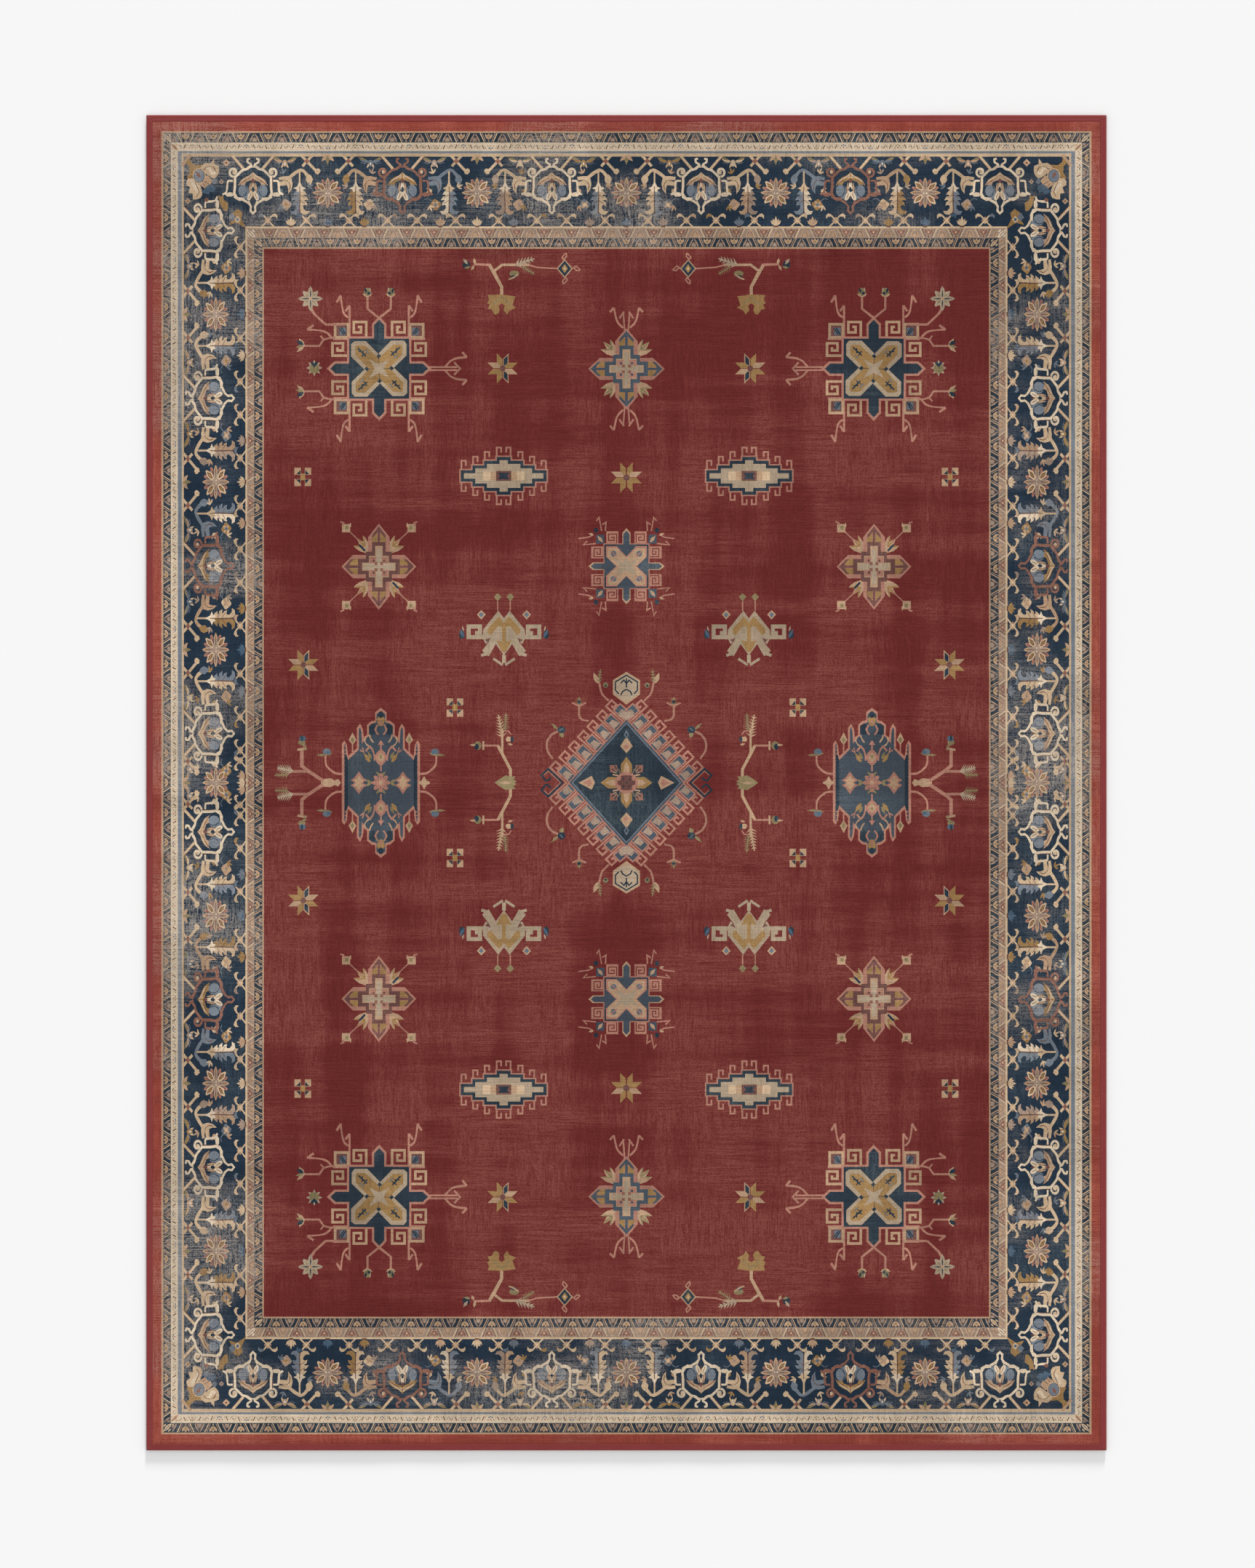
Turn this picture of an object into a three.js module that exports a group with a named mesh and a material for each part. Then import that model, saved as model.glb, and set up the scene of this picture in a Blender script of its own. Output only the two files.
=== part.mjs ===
// Area rug in two pieces: a printed low-pile cover with a taped edge, lying on a thin non-slip pad.
// Millimetres, +Z up, +Y along the rug's length. The origin is on the floor under the rug's centre.
// Soft layers are plain slabs of their true outer size. Where two pieces touch, both take the same
// named level or edge, so their faces meet exactly.

import * as THREE from 'three';

// Cover outline, over the edge tape.
const COVER_WIDTH = 1524;
const COVER_LENGTH = 2120;

// Pad layers, from the floor up. The pad stops short of the taped edge, which drops beside it.
const GRIP_BASE_THICKNESS = 1;
const PAD_FELT_THICKNESS = 2;
const PAD_INSET_FROM_TAPE = 6;

// Cover layers, from the pad up.
const BACKING_THICKNESS = 0.5;
const FILM_THICKNESS = 0.25;
const FACE_THICKNESS = 2;

// Edge tape, folded in a U over the edge of the three cover layers.
const TAPE_VISIBLE_WIDTH = 10;
const TAPE_THICKNESS = 0.5;
const TAPE_FOLD_RADIUS = 0.75;
const TAPE_FOLD_STEPS = 4;
const MITRE_GAP = 0.25;

// Lockstitch rows that hold the tape: a needle thread on top and a bobbin thread underneath.
const STITCH_FROM_TAPE_RIM = 2.5;
const THREAD_WIDTH = 0.625;
const THREAD_RISE = 0.25;
const THREAD_END_CLEARANCE = 1.5;

// Bar tacks that close the four mitred corners.
const TACK_START_FROM_CORNER = 2;
const TACK_STITCH_CLEARANCE = 1.5;

// Blank care label under one corner of the cover, and the thread that holds its upper end.
const LABEL_WIDTH = 30;
const LABEL_LENGTH = 48;
const LABEL_THICKNESS = 0.25;
const LABEL_INSET_FROM_PAD = 24;
const LABEL_STITCH_MARGIN = 4;
const LABEL_THREAD_DROP = 0.2;
const LABEL_TO_PAD_CLEARANCE = 0.3;

// Levels above the floor.
const PAD_TOP = GRIP_BASE_THICKNESS + PAD_FELT_THICKNESS;
const LABEL_STITCH_BOTTOM = PAD_TOP + LABEL_TO_PAD_CLEARANCE;
const LABEL_BOTTOM = LABEL_STITCH_BOTTOM + LABEL_THREAD_DROP;
const BACKING_BOTTOM = LABEL_BOTTOM + LABEL_THICKNESS;
const BACKING_TOP = BACKING_BOTTOM + BACKING_THICKNESS;
const FILM_TOP = BACKING_TOP + FILM_THICKNESS;
const FACE_TOP = FILM_TOP + FACE_THICKNESS;
const TAPE_BOTTOM = BACKING_BOTTOM - TAPE_THICKNESS;
const TAPE_TOP = FACE_TOP + TAPE_THICKNESS;

// Distances inward from the cover's outer edge.
const CLOTH_INSET = TAPE_THICKNESS;
const STITCH_INSET = TAPE_VISIBLE_WIDTH - STITCH_FROM_TAPE_RIM;
const PAD_INSET = TAPE_VISIBLE_WIDTH + PAD_INSET_FROM_TAPE;

const FINISHES = {
  gripRubber: { color: 0x6d6a66, roughness: 0.92 },
  padFelt: { color: 0x8c8984, roughness: 0.98 },
  loopBacking: { color: 0xb9b2a6, roughness: 0.97 },
  barrierFilm: { color: 0xd8d8d4, roughness: 0.55 },
  printedFace: { color: 0x7a3434, roughness: 0.95 },
  edgeTape: { color: 0x87383a, roughness: 0.93 },
  thread: { color: 0x7c3335, roughness: 0.8 },
  label: { color: 0xece8df, roughness: 0.85 },
};

const group = new THREE.Group();

/** Adds one named mesh with its own material to the rug. */
function addPiece(name, geometry, finish) {
  const material = new THREE.MeshStandardMaterial({ ...finish, metalness: 0 });
  const mesh = new THREE.Mesh(geometry, material);
  mesh.name = name;
  group.add(mesh);
}

/** A box given by its lowest and highest corners. */
function slab(low, high) {
  const geometry = new THREE.BoxGeometry(1, 1, 1);
  const position = geometry.attributes.position;
  for (let i = 0; i < position.count; i += 1) {
    const corner = [position.getX(i), position.getY(i), position.getZ(i)];
    const placed = corner.map((value, axis) => (value > 0 ? high[axis] : low[axis]));
    position.setXYZ(i, ...placed);
  }
  return geometry;
}

/** A level layer of the rug, held back from the cover's outer edge by inset. */
function layer(inset, bottom, top) {
  const x = COVER_WIDTH / 2 - inset;
  const y = COVER_LENGTH / 2 - inset;
  return slab([-x, -y, bottom], [x, y, top]);
}

/**
 * A bar along one edge of the rug. Its section lists points of inset from the outer edge and height,
 * anticlockwise as seen along the bar, and endAt gives the half length at each inset.
 */
function edgeBar(side, section, endAt) {
  const half = side.alongY ? [COVER_WIDTH / 2, COVER_LENGTH / 2] : [COVER_LENGTH / 2, COVER_WIDTH / 2];
  const count = section.length;
  const vertices = [];
  for (const end of [-1, 1]) {
    for (const [inset, height] of section) {
      const across = side.sign * (half[0] - inset);
      const along = end * endAt(inset, half[1]);
      vertices.push(...(side.alongY ? [across, along, height] : [along, across, height]));
    }
  }
  const outline = section.map(([inset, height]) => new THREE.Vector2(inset, height));
  const caps = THREE.ShapeUtils.triangulateShape(outline, []);
  const triangles = [];
  for (const [a, b, c] of caps) {
    triangles.push([a, b, c], [count + c, count + b, count + a]);
  }
  for (let i = 0; i < count; i += 1) {
    const next = (i + 1) % count;
    triangles.push([i, count + i, count + next], [i, count + next, next]);
  }
  const faces = side.flip ? triangles.map(([a, b, c]) => [a, c, b]) : triangles;
  const geometry = new THREE.BufferGeometry();
  geometry.setAttribute('position', new THREE.Float32BufferAttribute(vertices, 3));
  geometry.setIndex(faces.flat());
  return geometry;
}

/** A quarter round in the tape's section, from one angle to the next, about a centre. */
function foldArc(centreInset, centreHeight, startAngle) {
  const points = [];
  for (let i = 0; i <= TAPE_FOLD_STEPS; i += 1) {
    const angle = startAngle + (Math.PI / 2) * (i / TAPE_FOLD_STEPS);
    points.push([
      centreInset + TAPE_FOLD_RADIUS * Math.cos(angle),
      centreHeight + TAPE_FOLD_RADIUS * Math.sin(angle),
    ]);
  }
  return points;
}

/** The U section of the edge tape: two leaves joined by the fold at the outer edge. */
function tapeSection() {
  return [
    ...foldArc(TAPE_FOLD_RADIUS, TAPE_TOP - TAPE_FOLD_RADIUS, Math.PI / 2),
    ...foldArc(TAPE_FOLD_RADIUS, TAPE_BOTTOM + TAPE_FOLD_RADIUS, Math.PI),
    [TAPE_VISIBLE_WIDTH, TAPE_BOTTOM],
    [TAPE_VISIBLE_WIDTH, BACKING_BOTTOM],
    [CLOTH_INSET, BACKING_BOTTOM],
    [CLOTH_INSET, FACE_TOP],
    [TAPE_VISIBLE_WIDTH, FACE_TOP],
    [TAPE_VISIBLE_WIDTH, TAPE_TOP],
  ];
}

/** The section of a stitch row centred on the tape's stitch line, between two heights. */
function threadSection(bottom, top) {
  const outer = STITCH_INSET - THREAD_WIDTH / 2;
  const inner = STITCH_INSET + THREAD_WIDTH / 2;
  return [[outer, top], [outer, bottom], [inner, bottom], [inner, top]];
}

/** A short bar on the mitre at one corner, square to neither edge. */
function cornerTack(signX, signY) {
  const start = TACK_START_FROM_CORNER;
  const end = STITCH_INSET - TACK_STITCH_CLEARANCE;
  const side = THREAD_WIDTH / (2 * Math.SQRT2);
  const corners = [[start - side, start + side], [start + side, start - side],
    [end + side, end - side], [end - side, end + side]];
  const outline = corners.map(([insetX, insetY]) => new THREE.Vector2(
    signX * (COVER_WIDTH / 2 - insetX),
    signY * (COVER_LENGTH / 2 - insetY),
  ));
  const geometry = new THREE.ExtrudeGeometry(new THREE.Shape(outline), {
    depth: THREAD_RISE,
    bevelEnabled: false,
  });
  return geometry.translate(0, 0, TAPE_TOP);
}

const SIDES = [
  { name: 'left', alongY: true, sign: -1, flip: false },
  { name: 'right', alongY: true, sign: 1, flip: true },
  { name: 'near', alongY: false, sign: -1, flip: true },
  { name: 'far', alongY: false, sign: 1, flip: false },
];

function addPad() {
  addPiece('pad_grip_base', layer(PAD_INSET, 0, GRIP_BASE_THICKNESS), FINISHES.gripRubber);
  addPiece('pad_felt', layer(PAD_INSET, GRIP_BASE_THICKNESS, PAD_TOP), FINISHES.padFelt);
}

function addCoverLayers() {
  addPiece('loop_backing', layer(CLOTH_INSET, BACKING_BOTTOM, BACKING_TOP), FINISHES.loopBacking);
  addPiece('barrier_film', layer(CLOTH_INSET, BACKING_TOP, FILM_TOP), FINISHES.barrierFilm);
  addPiece('printed_face', layer(CLOTH_INSET, FILM_TOP, FACE_TOP), FINISHES.printedFace);
}

function addEdgeTapes() {
  const mitre = (inset, half) => half - inset - MITRE_GAP;
  for (const side of SIDES) {
    addPiece(`edge_tape_${side.name}`, edgeBar(side, tapeSection(), mitre), FINISHES.edgeTape);
  }
}

function addStitchRows() {
  const needle = threadSection(TAPE_TOP, TAPE_TOP + THREAD_RISE);
  const bobbin = threadSection(TAPE_BOTTOM - THREAD_RISE, TAPE_BOTTOM);
  const squareEnd = (inset, half) => half - STITCH_INSET - THREAD_END_CLEARANCE;
  for (const side of SIDES) {
    addPiece(`needle_thread_${side.name}`, edgeBar(side, needle, squareEnd), FINISHES.thread);
    addPiece(`bobbin_thread_${side.name}`, edgeBar(side, bobbin, squareEnd), FINISHES.thread);
  }
}

function addCornerTacks() {
  for (const [end, signY] of [['near', -1], ['far', 1]]) {
    for (const [hand, signX] of [['left', -1], ['right', 1]]) {
      addPiece(`corner_tack_${end}_${hand}`, cornerTack(signX, signY), FINISHES.thread);
    }
  }
}

function addLabel() {
  const x1 = COVER_WIDTH / 2 - PAD_INSET - LABEL_INSET_FROM_PAD;
  const y0 = PAD_INSET + LABEL_INSET_FROM_PAD - COVER_LENGTH / 2;
  const x0 = x1 - LABEL_WIDTH;
  const y1 = y0 + LABEL_LENGTH;
  addPiece('care_label', slab([x0, y0, LABEL_BOTTOM], [x1, y1, BACKING_BOTTOM]), FINISHES.label);
  const stitchY = y1 - LABEL_STITCH_MARGIN;
  addPiece('label_thread', slab(
    [x0 + LABEL_STITCH_MARGIN, stitchY - THREAD_WIDTH, LABEL_STITCH_BOTTOM],
    [x1 - LABEL_STITCH_MARGIN, stitchY, LABEL_BOTTOM],
  ), FINISHES.thread);
}

addPad();
addCoverLayers();
addEdgeTapes();
addStitchRows();
addCornerTacks();
addLabel();

export default group;
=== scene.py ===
"""A printed low-pile area rug: a bordered medallion cover with a taped edge, lying on its non-slip pad.

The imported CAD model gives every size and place. The pattern is drawn here as flat shapes in millimetres
on one quarter of the rug, cut into one clean mesh, and mirrored about both centre lines.
"""
import logging
import math
from dataclasses import dataclass, field
from enum import Enum
from typing import Callable, Iterator, Sequence

import bpy
import numpy as np
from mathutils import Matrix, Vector
from mathutils.geometry import delaunay_2d_cdt


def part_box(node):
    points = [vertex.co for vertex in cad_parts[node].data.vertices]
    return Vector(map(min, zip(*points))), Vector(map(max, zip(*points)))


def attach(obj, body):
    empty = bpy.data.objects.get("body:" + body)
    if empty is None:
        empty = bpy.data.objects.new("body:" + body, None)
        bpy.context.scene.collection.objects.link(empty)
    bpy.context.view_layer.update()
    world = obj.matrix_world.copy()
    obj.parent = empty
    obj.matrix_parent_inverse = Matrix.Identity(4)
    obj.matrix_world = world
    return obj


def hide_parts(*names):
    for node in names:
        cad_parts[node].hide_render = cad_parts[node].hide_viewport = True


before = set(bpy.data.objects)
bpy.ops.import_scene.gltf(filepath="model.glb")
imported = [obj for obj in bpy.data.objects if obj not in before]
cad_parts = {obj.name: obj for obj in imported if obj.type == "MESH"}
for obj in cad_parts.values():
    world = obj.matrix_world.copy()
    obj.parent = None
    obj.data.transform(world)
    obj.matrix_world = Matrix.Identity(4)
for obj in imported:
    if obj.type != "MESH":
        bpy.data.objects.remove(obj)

LOG = logging.getLogger("rug")
MM = 0.001

SHARPEST = 0.3      # a line's corner gets a mitre where its two unit directions add up to more than this

Point = tuple[float, float]
Points = Sequence[Point]


# Inks and the drawing

class Ink(Enum):
    """Colours of the print, as sRGB values from 0 to 255."""

    FIELD = (104, 36, 35)
    EDGE_RED = (143, 62, 51)
    ROSE = (163, 114, 98)
    TAN = (172, 140, 112)
    SAND = (192, 165, 134)
    CREAM = (208, 188, 162)
    IVORY = (160, 141, 119)
    PEARL = (200, 190, 174)
    GOLD = (146, 113, 70)
    OLIVE = (126, 112, 80)
    NAVY = (36, 47, 58)
    DEEP = (29, 44, 60)
    DUSK = (66, 74, 84)
    SLATE = (96, 103, 112)
    STEEL = (112, 119, 128)
    TEAL = (68, 88, 106)
    RUST = (130, 88, 74)
    PLUM = (103, 66, 62)
    BROWN = (98, 66, 52)
    TAUPE = (150, 128, 112)


(FIELD, EDGE_RED, ROSE, TAN, SAND, CREAM, IVORY, PEARL, GOLD, OLIVE,
 NAVY, DEEP, DUSK, SLATE, STEEL, TEAL, RUST, PLUM, BROWN, TAUPE) = Ink


@dataclass(frozen=True)
class Shape:
    """One flat area of ink, with its corners in millimetres on the rug as an (n, 2) array."""

    ink: Ink
    outline: np.ndarray


def arc(centre: Point, radii: Point, start: float, end: float, steps: int = 10) -> list[Point]:
    """Points on an ellipse from one angle to another.

    Args:
        centre: the ellipse's centre.
        radii: its half width and half height.
        start: the first angle, in degrees.
        end: the last angle.
        steps: how many chords the arc has.

    Returns:
        The points, both ends among them.
    """
    angles = np.radians(np.linspace(start, end, steps + 1))
    return list(zip(centre[0] + radii[0] * np.cos(angles), centre[1] + radii[1] * np.sin(angles)))


def curve(points: Points, steps: int = 4) -> list[Point]:
    """A smooth path through the given points, as a uniform Catmull-Rom spline.

    Args:
        points: the points to pass through.
        steps: how many chords run between two neighbours.

    Returns:
        The points of the smooth path.
    """
    knots = np.asarray(points, float)
    padded = np.vstack([2 * knots[0] - knots[1], knots, 2 * knots[-1] - knots[-2]])
    t = np.arange(steps)[:, None] / steps
    a, b, c, d = (padded[i:len(padded) - 3 + i, None] for i in range(4))
    path = 0.5 * (2 * b + (c - a) * t + (2 * a - 5 * b + 4 * c - d) * t ** 2
                  + (3 * b - a - 3 * c + d) * t ** 3)
    return [tuple(p) for p in np.vstack([path.reshape(-1, 2), knots[-1]])]


def spiral(centre: Point, radius: float, start: float, sweep: float, inner: float, steps: int
           ) -> list[Point]:
    """A volute that winds evenly in towards its centre.

    Args:
        centre: the centre of the volute.
        radius: its outer radius.
        start: the angle of its outer end, in degrees.
        sweep: how far it turns, anticlockwise where positive.
        inner: the radius of its inner end, as a share of the outer one.
        steps: how many chords it has.

    Returns:
        The points from the outer end to the inner one.
    """
    t = np.linspace(0, 1, steps + 1)
    angles = np.radians(start + sweep * t)
    radii = radius * (1 - (1 - inner) * t)
    return list(zip(centre[0] + radii * np.cos(angles), centre[1] + radii * np.sin(angles)))


def ribbon(points: Points, width: float, closed: bool = False) -> list[np.ndarray]:
    """The outlines of a line with mitred corners: one, or a piece for each chord of a closed line.

    Args:
        points: the middle of the line.
        width: the line's width.
        closed: whether its last point joins its first.

    Returns:
        One array of outline corners for each piece.
    """
    path = np.asarray(points, float)
    ahead = np.roll(path, -1, axis=0) - path
    if not closed:
        ahead[-1] = ahead[-2]
    ahead /= np.maximum(np.linalg.norm(ahead, axis=1), 1e-9)[:, None]
    behind = np.roll(ahead, 1, axis=0)
    if not closed:
        behind[0] = ahead[0]
    bisector = ahead + behind
    length = np.linalg.norm(bisector, axis=1)[:, None]
    bisector = np.where(length > SHARPEST, bisector / np.maximum(length, 1e-9), ahead)
    normal = np.stack([-bisector[:, 1], bisector[:, 0]], axis=1)
    spread = 1 / np.maximum(np.abs(np.sum(bisector * ahead, axis=1)), 0.5)
    offset = normal * spread[:, None] * width / 2
    left, right = path + offset, path - offset
    if closed:
        following = (np.arange(len(path)) + 1) % len(path)
        return [np.array([left[i], left[j], right[j], right[i]]) for i, j in enumerate(following)]
    return [np.vstack([left, right[::-1]])]


class Drawing:
    """Shapes in paint order, added through a placement that can move, turn, stretch and mirror.

    Each method that adds a shape returns the drawing, so that strokes can follow each other.
    """

    def __init__(self, shapes: list[Shape] | None = None, matrix: np.ndarray | None = None) -> None:
        """Starts an empty drawing, or another view of the same shapes.

        Args:
            shapes: the list that new shapes join.
            matrix: the 2 by 3 placement of what is drawn.
        """
        self.shapes = [] if shapes is None else shapes
        self.matrix = np.array([[1.0, 0, 0], [0, 1.0, 0]]) if matrix is None else matrix

    def placed(self, matrix: Sequence[Sequence[float]]) -> "Drawing":
        """The same drawing, seen through a further 2 by 3 placement."""
        inner = np.vstack([np.asarray(matrix, float), [0, 0, 1]])
        return Drawing(self.shapes, self.matrix @ inner)

    def at(self, x: float, y: float, turn: float = 0, sx: float = 1, sy: float = 1) -> "Drawing":
        """The same drawing with its origin moved, then turned by degrees, then stretched."""
        c, s = math.cos(math.radians(turn)), math.sin(math.radians(turn))
        return self.placed([[c * sx, -s * sy, x], [s * sx, c * sy, y]])

    def halves(self) -> Iterator["Drawing"]:
        """This drawing and its mirror image about the upright axis."""
        yield self
        yield self.at(0, 0, sx=-1)

    def ends(self) -> Iterator["Drawing"]:
        """This drawing and its mirror image about the level axis."""
        yield self
        yield self.at(0, 0, sy=-1)

    def quarters(self) -> Iterator["Drawing"]:
        """This drawing and its three mirror images about both axes."""
        for half in self.halves():
            yield from half.ends()

    def turns(self, count: int = 4, first: float = 0) -> Iterator["Drawing"]:
        """This drawing turned about its origin in equal steps."""
        for i in range(count):
            yield self.at(0, 0, first + 360 * i / count)

    def fill(self, ink: Ink, points: Points | np.ndarray) -> "Drawing":
        """Adds one filled area.

        Args:
            ink: its colour.
            points: its corners.

        Returns:
            The drawing.
        """
        outline = np.asarray(points, float) @ self.matrix[:, :2].T + self.matrix[:, 2]
        self.shapes.append(Shape(ink, outline))
        return self

    def line(self, ink: Ink, width: float, points: Points, closed: bool = False) -> "Drawing":
        """Adds a line of even width.

        Args:
            ink: its colour.
            width: its width.
            points: its middle.
            closed: whether its last point joins its first.

        Returns:
            The drawing.
        """
        for piece in ribbon(points, width, closed):
            self.fill(ink, piece)
        return self

    def oval(self, ink: Ink, x: float, y: float, rx: float, ry: float | None = None,
             sides: int = 12) -> "Drawing":
        """Adds an ellipse given by its centre and half sizes."""
        return self.fill(ink, arc((x, y), (rx, rx if ry is None else ry), 0, 360, sides)[:-1])

    def box(self, ink: Ink, x: float, y: float, half_x: float, half_y: float) -> "Drawing":
        """Adds a rectangle given by its centre and half sizes."""
        return self.fill(ink, [(x - half_x, y - half_y), (x + half_x, y - half_y),
                               (x + half_x, y + half_y), (x - half_x, y + half_y)])

    def leaf(self, ink: Ink, root: Point, tip: Point, width: float, fullest: float = 0.45,
             point: float = 0.0) -> "Drawing":
        """Adds a leaf: widest at a share of its length, rounded at the root, pointed at the tip.

        Args:
            ink: its colour.
            root: where it starts.
            tip: where it ends.
            width: its greatest width.
            fullest: where along the leaf it is widest.
            point: how wide the tip still is, as a share of the width.

        Returns:
            The drawing.
        """
        start, end = np.asarray(root, float), np.asarray(tip, float)
        along = end - start
        across = np.array([-along[1], along[0]]) / np.hypot(*along) * width / 2
        t = np.array([0.0, 0.18, fullest, 0.5 + fullest / 2, 1.0])
        w = np.array([0.25, 0.72, 1.0, 0.66, point])
        middle = start + t[:, None] * along
        return self.fill(ink, np.vstack([middle + w[:, None] * across,
                                         (middle - w[:, None] * across)[::-1]]))

    def comb(self, ink: Ink, root: Point, tip: Point, width: float, barbs: int, sweep: float,
             thick: float) -> "Drawing":
        """Adds a feathered leaf: a row of slanting barbs on both sides of a midrib.

        Args:
            ink: its colour.
            root: where it starts.
            tip: where it ends.
            width: its width over the barbs.
            barbs: how many barbs there are on each side.
            sweep: how far each barb leans towards the tip, as a share of the half width.
            thick: a barb's thickness, as a share of the spacing.

        Returns:
            The drawing.
        """
        length = math.dist(root, tip)
        turn = math.degrees(math.atan2(tip[1] - root[1], tip[0] - root[0]))
        pen = self.at(*root, turn).line(ink, width * 0.12, [(0, 0), (length, 0)])
        step = length / (barbs + 0.5)
        half_thick = step * thick / 2
        for side in (-1, 1):
            for i in range(barbs):
                reach = width / 2 * (1 - 0.55 * i / barbs)
                x = step * (i + 0.3)
                pen.fill(ink, [(x - half_thick, 0), (x + reach * sweep, side * reach), (x + half_thick, 0)])
        return self


def steps_outline(corners: Points) -> list[Point]:
    """A four-fold symmetric outline from the corners of its first quarter, listed from +X to +Y.

    Args:
        corners: the corners of the first quarter.

    Returns:
        The whole outline.
    """
    quarter, back = list(corners), list(reversed(corners))
    return (quarter + [(-x, y) for x, y in back] + [(-x, -y) for x, y in quarter]
            + [(x, -y) for x, y in back])


# Motifs of the red field, each in millimetres about its own centre

def barbed(pen: Drawing, ink: Ink, width: float, path: Points, barb: Point) -> None:
    """A line that ends in one barb, as on an arrow with half its head."""
    pen.line(ink, width, path).line(ink, width * 1.15, [path[-1], barb])


def square_key(pen: Drawing, ink: Ink, size: float, width: float) -> None:
    """A square spiral that stands on the line y = 0, with its foot at x = 0 and its body at +x.

    Args:
        pen: where to draw.
        ink: the colour.
        size: its size.
        width: its width.
    """
    s = size
    pen.line(ink, width, [(0, -1), (0, s), (s * 0.86, s), (s * 0.86, s * 0.28), (s * 0.36, s * 0.28),
            (s * 0.36, s * 0.66), (s * 0.58, s * 0.66)])


def bud(pen: Drawing, x: float, y: float, turn: float = 0) -> None:
    """A dark flower bud on a cup of two sepals, opening towards +Y before it is turned.

    Args:
        pen: where to draw.
        x: its place across.
        y: its place along.
        turn: how far it is turned, in degrees.
    """
    flower = pen.at(x, y, turn)
    (flower.leaf(TAN, (0, 0), (8, 5), 3.6).leaf(TAN, (0, 0), (-8, 5), 3.6).oval(OLIVE, 0, 8, 6, 6.5, 10)
     .oval(NAVY, -2, 5.5, 2.6, 2.6, 8).leaf(NAVY, (2, 6), (4, 14), 4.4).leaf(IVORY, (-4, 8), (-4, 15), 3))


def star_flower(pen: Drawing, radius: float = 20) -> None:
    """A flower of four long petals and four short ones, with dark veins.

    Args:
        pen: where to draw.
        radius: how far its petals reach.
    """
    for petal in pen.turns(4, 45):
        petal.leaf(IVORY, (1, 0), (radius * 0.82, 0), radius * 0.44, 0.6, 0.3)
    for petal in pen.turns():
        (petal.leaf(IVORY, (1, 0), (radius, 0), radius * 0.42, 0.55)
         .leaf(NAVY, (2, 0), (radius * 0.8, 0), 2.6))
    for vein in pen.turns(4, 45):
        vein.leaf(OLIVE, (4, 0), (radius * 0.6, 0), 2.2)
    pen.oval(TAN, 0, 0, 2.6)


def curled_stem(pen: Drawing) -> None:
    """The stem and the barbed curve beside it that stand on each corner of the large medallions.

    Args:
        pen: where to draw.
    """
    barbed(pen, ROSE, 3.2, [(0, 0), (0, 27)], (6.5, 18))
    path = curve([(2, 8), (8, 13), (12, 24), (14, 43)])
    barbed(pen, ROSE, 3.2, path, (20.5, 32))


def star_cross(pen: Drawing) -> None:
    """The large medallion: a square with pointed arms, square keys all round and a gold saltire.

    Args:
        pen: where to draw.
    """
    for side in pen.turns():
        side.fill(ROSE, [(-11.5, 48), (-11.5, 71), (0, 83), (11.5, 71), (11.5, 48)])
        for half in side.halves():
            square_key(half.at(20.5, 51), TAN, 23, 4.0)
            half.line(ROSE, 3.4, [(47, 49), (47, 73)])
    for corner in pen.quarters():
        (corner.box(TAN, 59.5, 60, 12.5, 12.5).box(PLUM, 59.5, 60, 8.3, 8.3).box(SLATE, 57.5, 59, 5, 6)
         .line(NAVY, 2.2, [(53, 54), (60, 65)]).line(NAVY, 2.0, [(56, 54), (63, 64)]))
        curled_stem(corner.at(47, 73))
    pen.box(ROSE, 0, 0, 51, 51).box(NAVY, 0, 0, 47.5, 47.5)
    for side in pen.turns():
        (side.fill(NAVY, [(-8, 44), (-8, 69), (0, 77.5), (8, 69), (8, 44)])
         .fill(IVORY, [(-1, 23), (-21, 43.5), (-39, 43.5), (-44.5, 39), (-44.5, 19), (-24, -1)])
         .fill(GOLD, [(-1, 16), (-22.5, 37), (-36, 37), (-38, 34.5), (-38, 22), (-17, 0), (0, 0)])
         .line(NAVY, 2.4, [(-34, 33), (-21, 19)])
         .line(NAVY, 1.8, [(-33, 27), (-25, 27), (-27, 19), (-20, 25)])
         .line(SLATE, 1.8, [(-22, 30), (-16, 24)]))
    pen.fill(IVORY, [(7, 0), (16, 15), (0, 7), (-16, 15), (-7, 0), (-16, -15), (0, -7), (16, -15)])
    for half in pen.halves():
        half.line(ROSE, 3.4, [(0, 80), (18.5, 95), (18.5, 115)])
        bud(half, 18.5, 114)
    for half in pen.ends():
        half.line(ROSE, 2.7, [(80, 2.4), (124, 2.4)]).line(ROSE, 3.2, [(129, -0.6), (119, 10)])
        barbed(half, ROSE, 3.2, curve([(104, 2), (113, 12), (125, 17), (139, 18)]), (132, 26))
        half.line(ROSE, 3.6, [(-52, 70), (-85, 70)] if half is pen else [(-52, 47), (-60, 47)])
        barbed(half, ROSE, 3.2, curve([(-76, 50), (-83, 57), (-95, 61), (-114, 62)]), (-104, 69))
        (half.line(ROSE, 3.2, [(-70, 49), (-80, 48.5), (-88, 46), (-95, 36), (-119, 36)])
         .line(ROSE, 2.6, [(-88, 46), (-93, 52)]).leaf(TAN, (-119, 36), (-131, 26), 6)
         .leaf(TAN, (-119, 36), (-127, 48), 6).leaf(NAVY, (-120, 38), (-131, 44), 7)
         .leaf(OLIVE, (-121, 36), (-133, 34), 5))
    pen.line(ROSE, 3.6, curve([(-85, 70), (-98, 82), (-106, 91), (-110, 104)]))
    star_flower(pen.at(-109, 111))
    for piece in pen.at(-103, 1).turns(8):
        piece.leaf(IVORY, (2, 0), (13, 0), 5)
    (pen.oval(OLIVE, -103, 0, 8, 8, 10)
     .fill(NAVY, [(-109, 8), (-103, 2), (-97, 8), (-100, 12), (-103, 8), (-106, 12)]))


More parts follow.
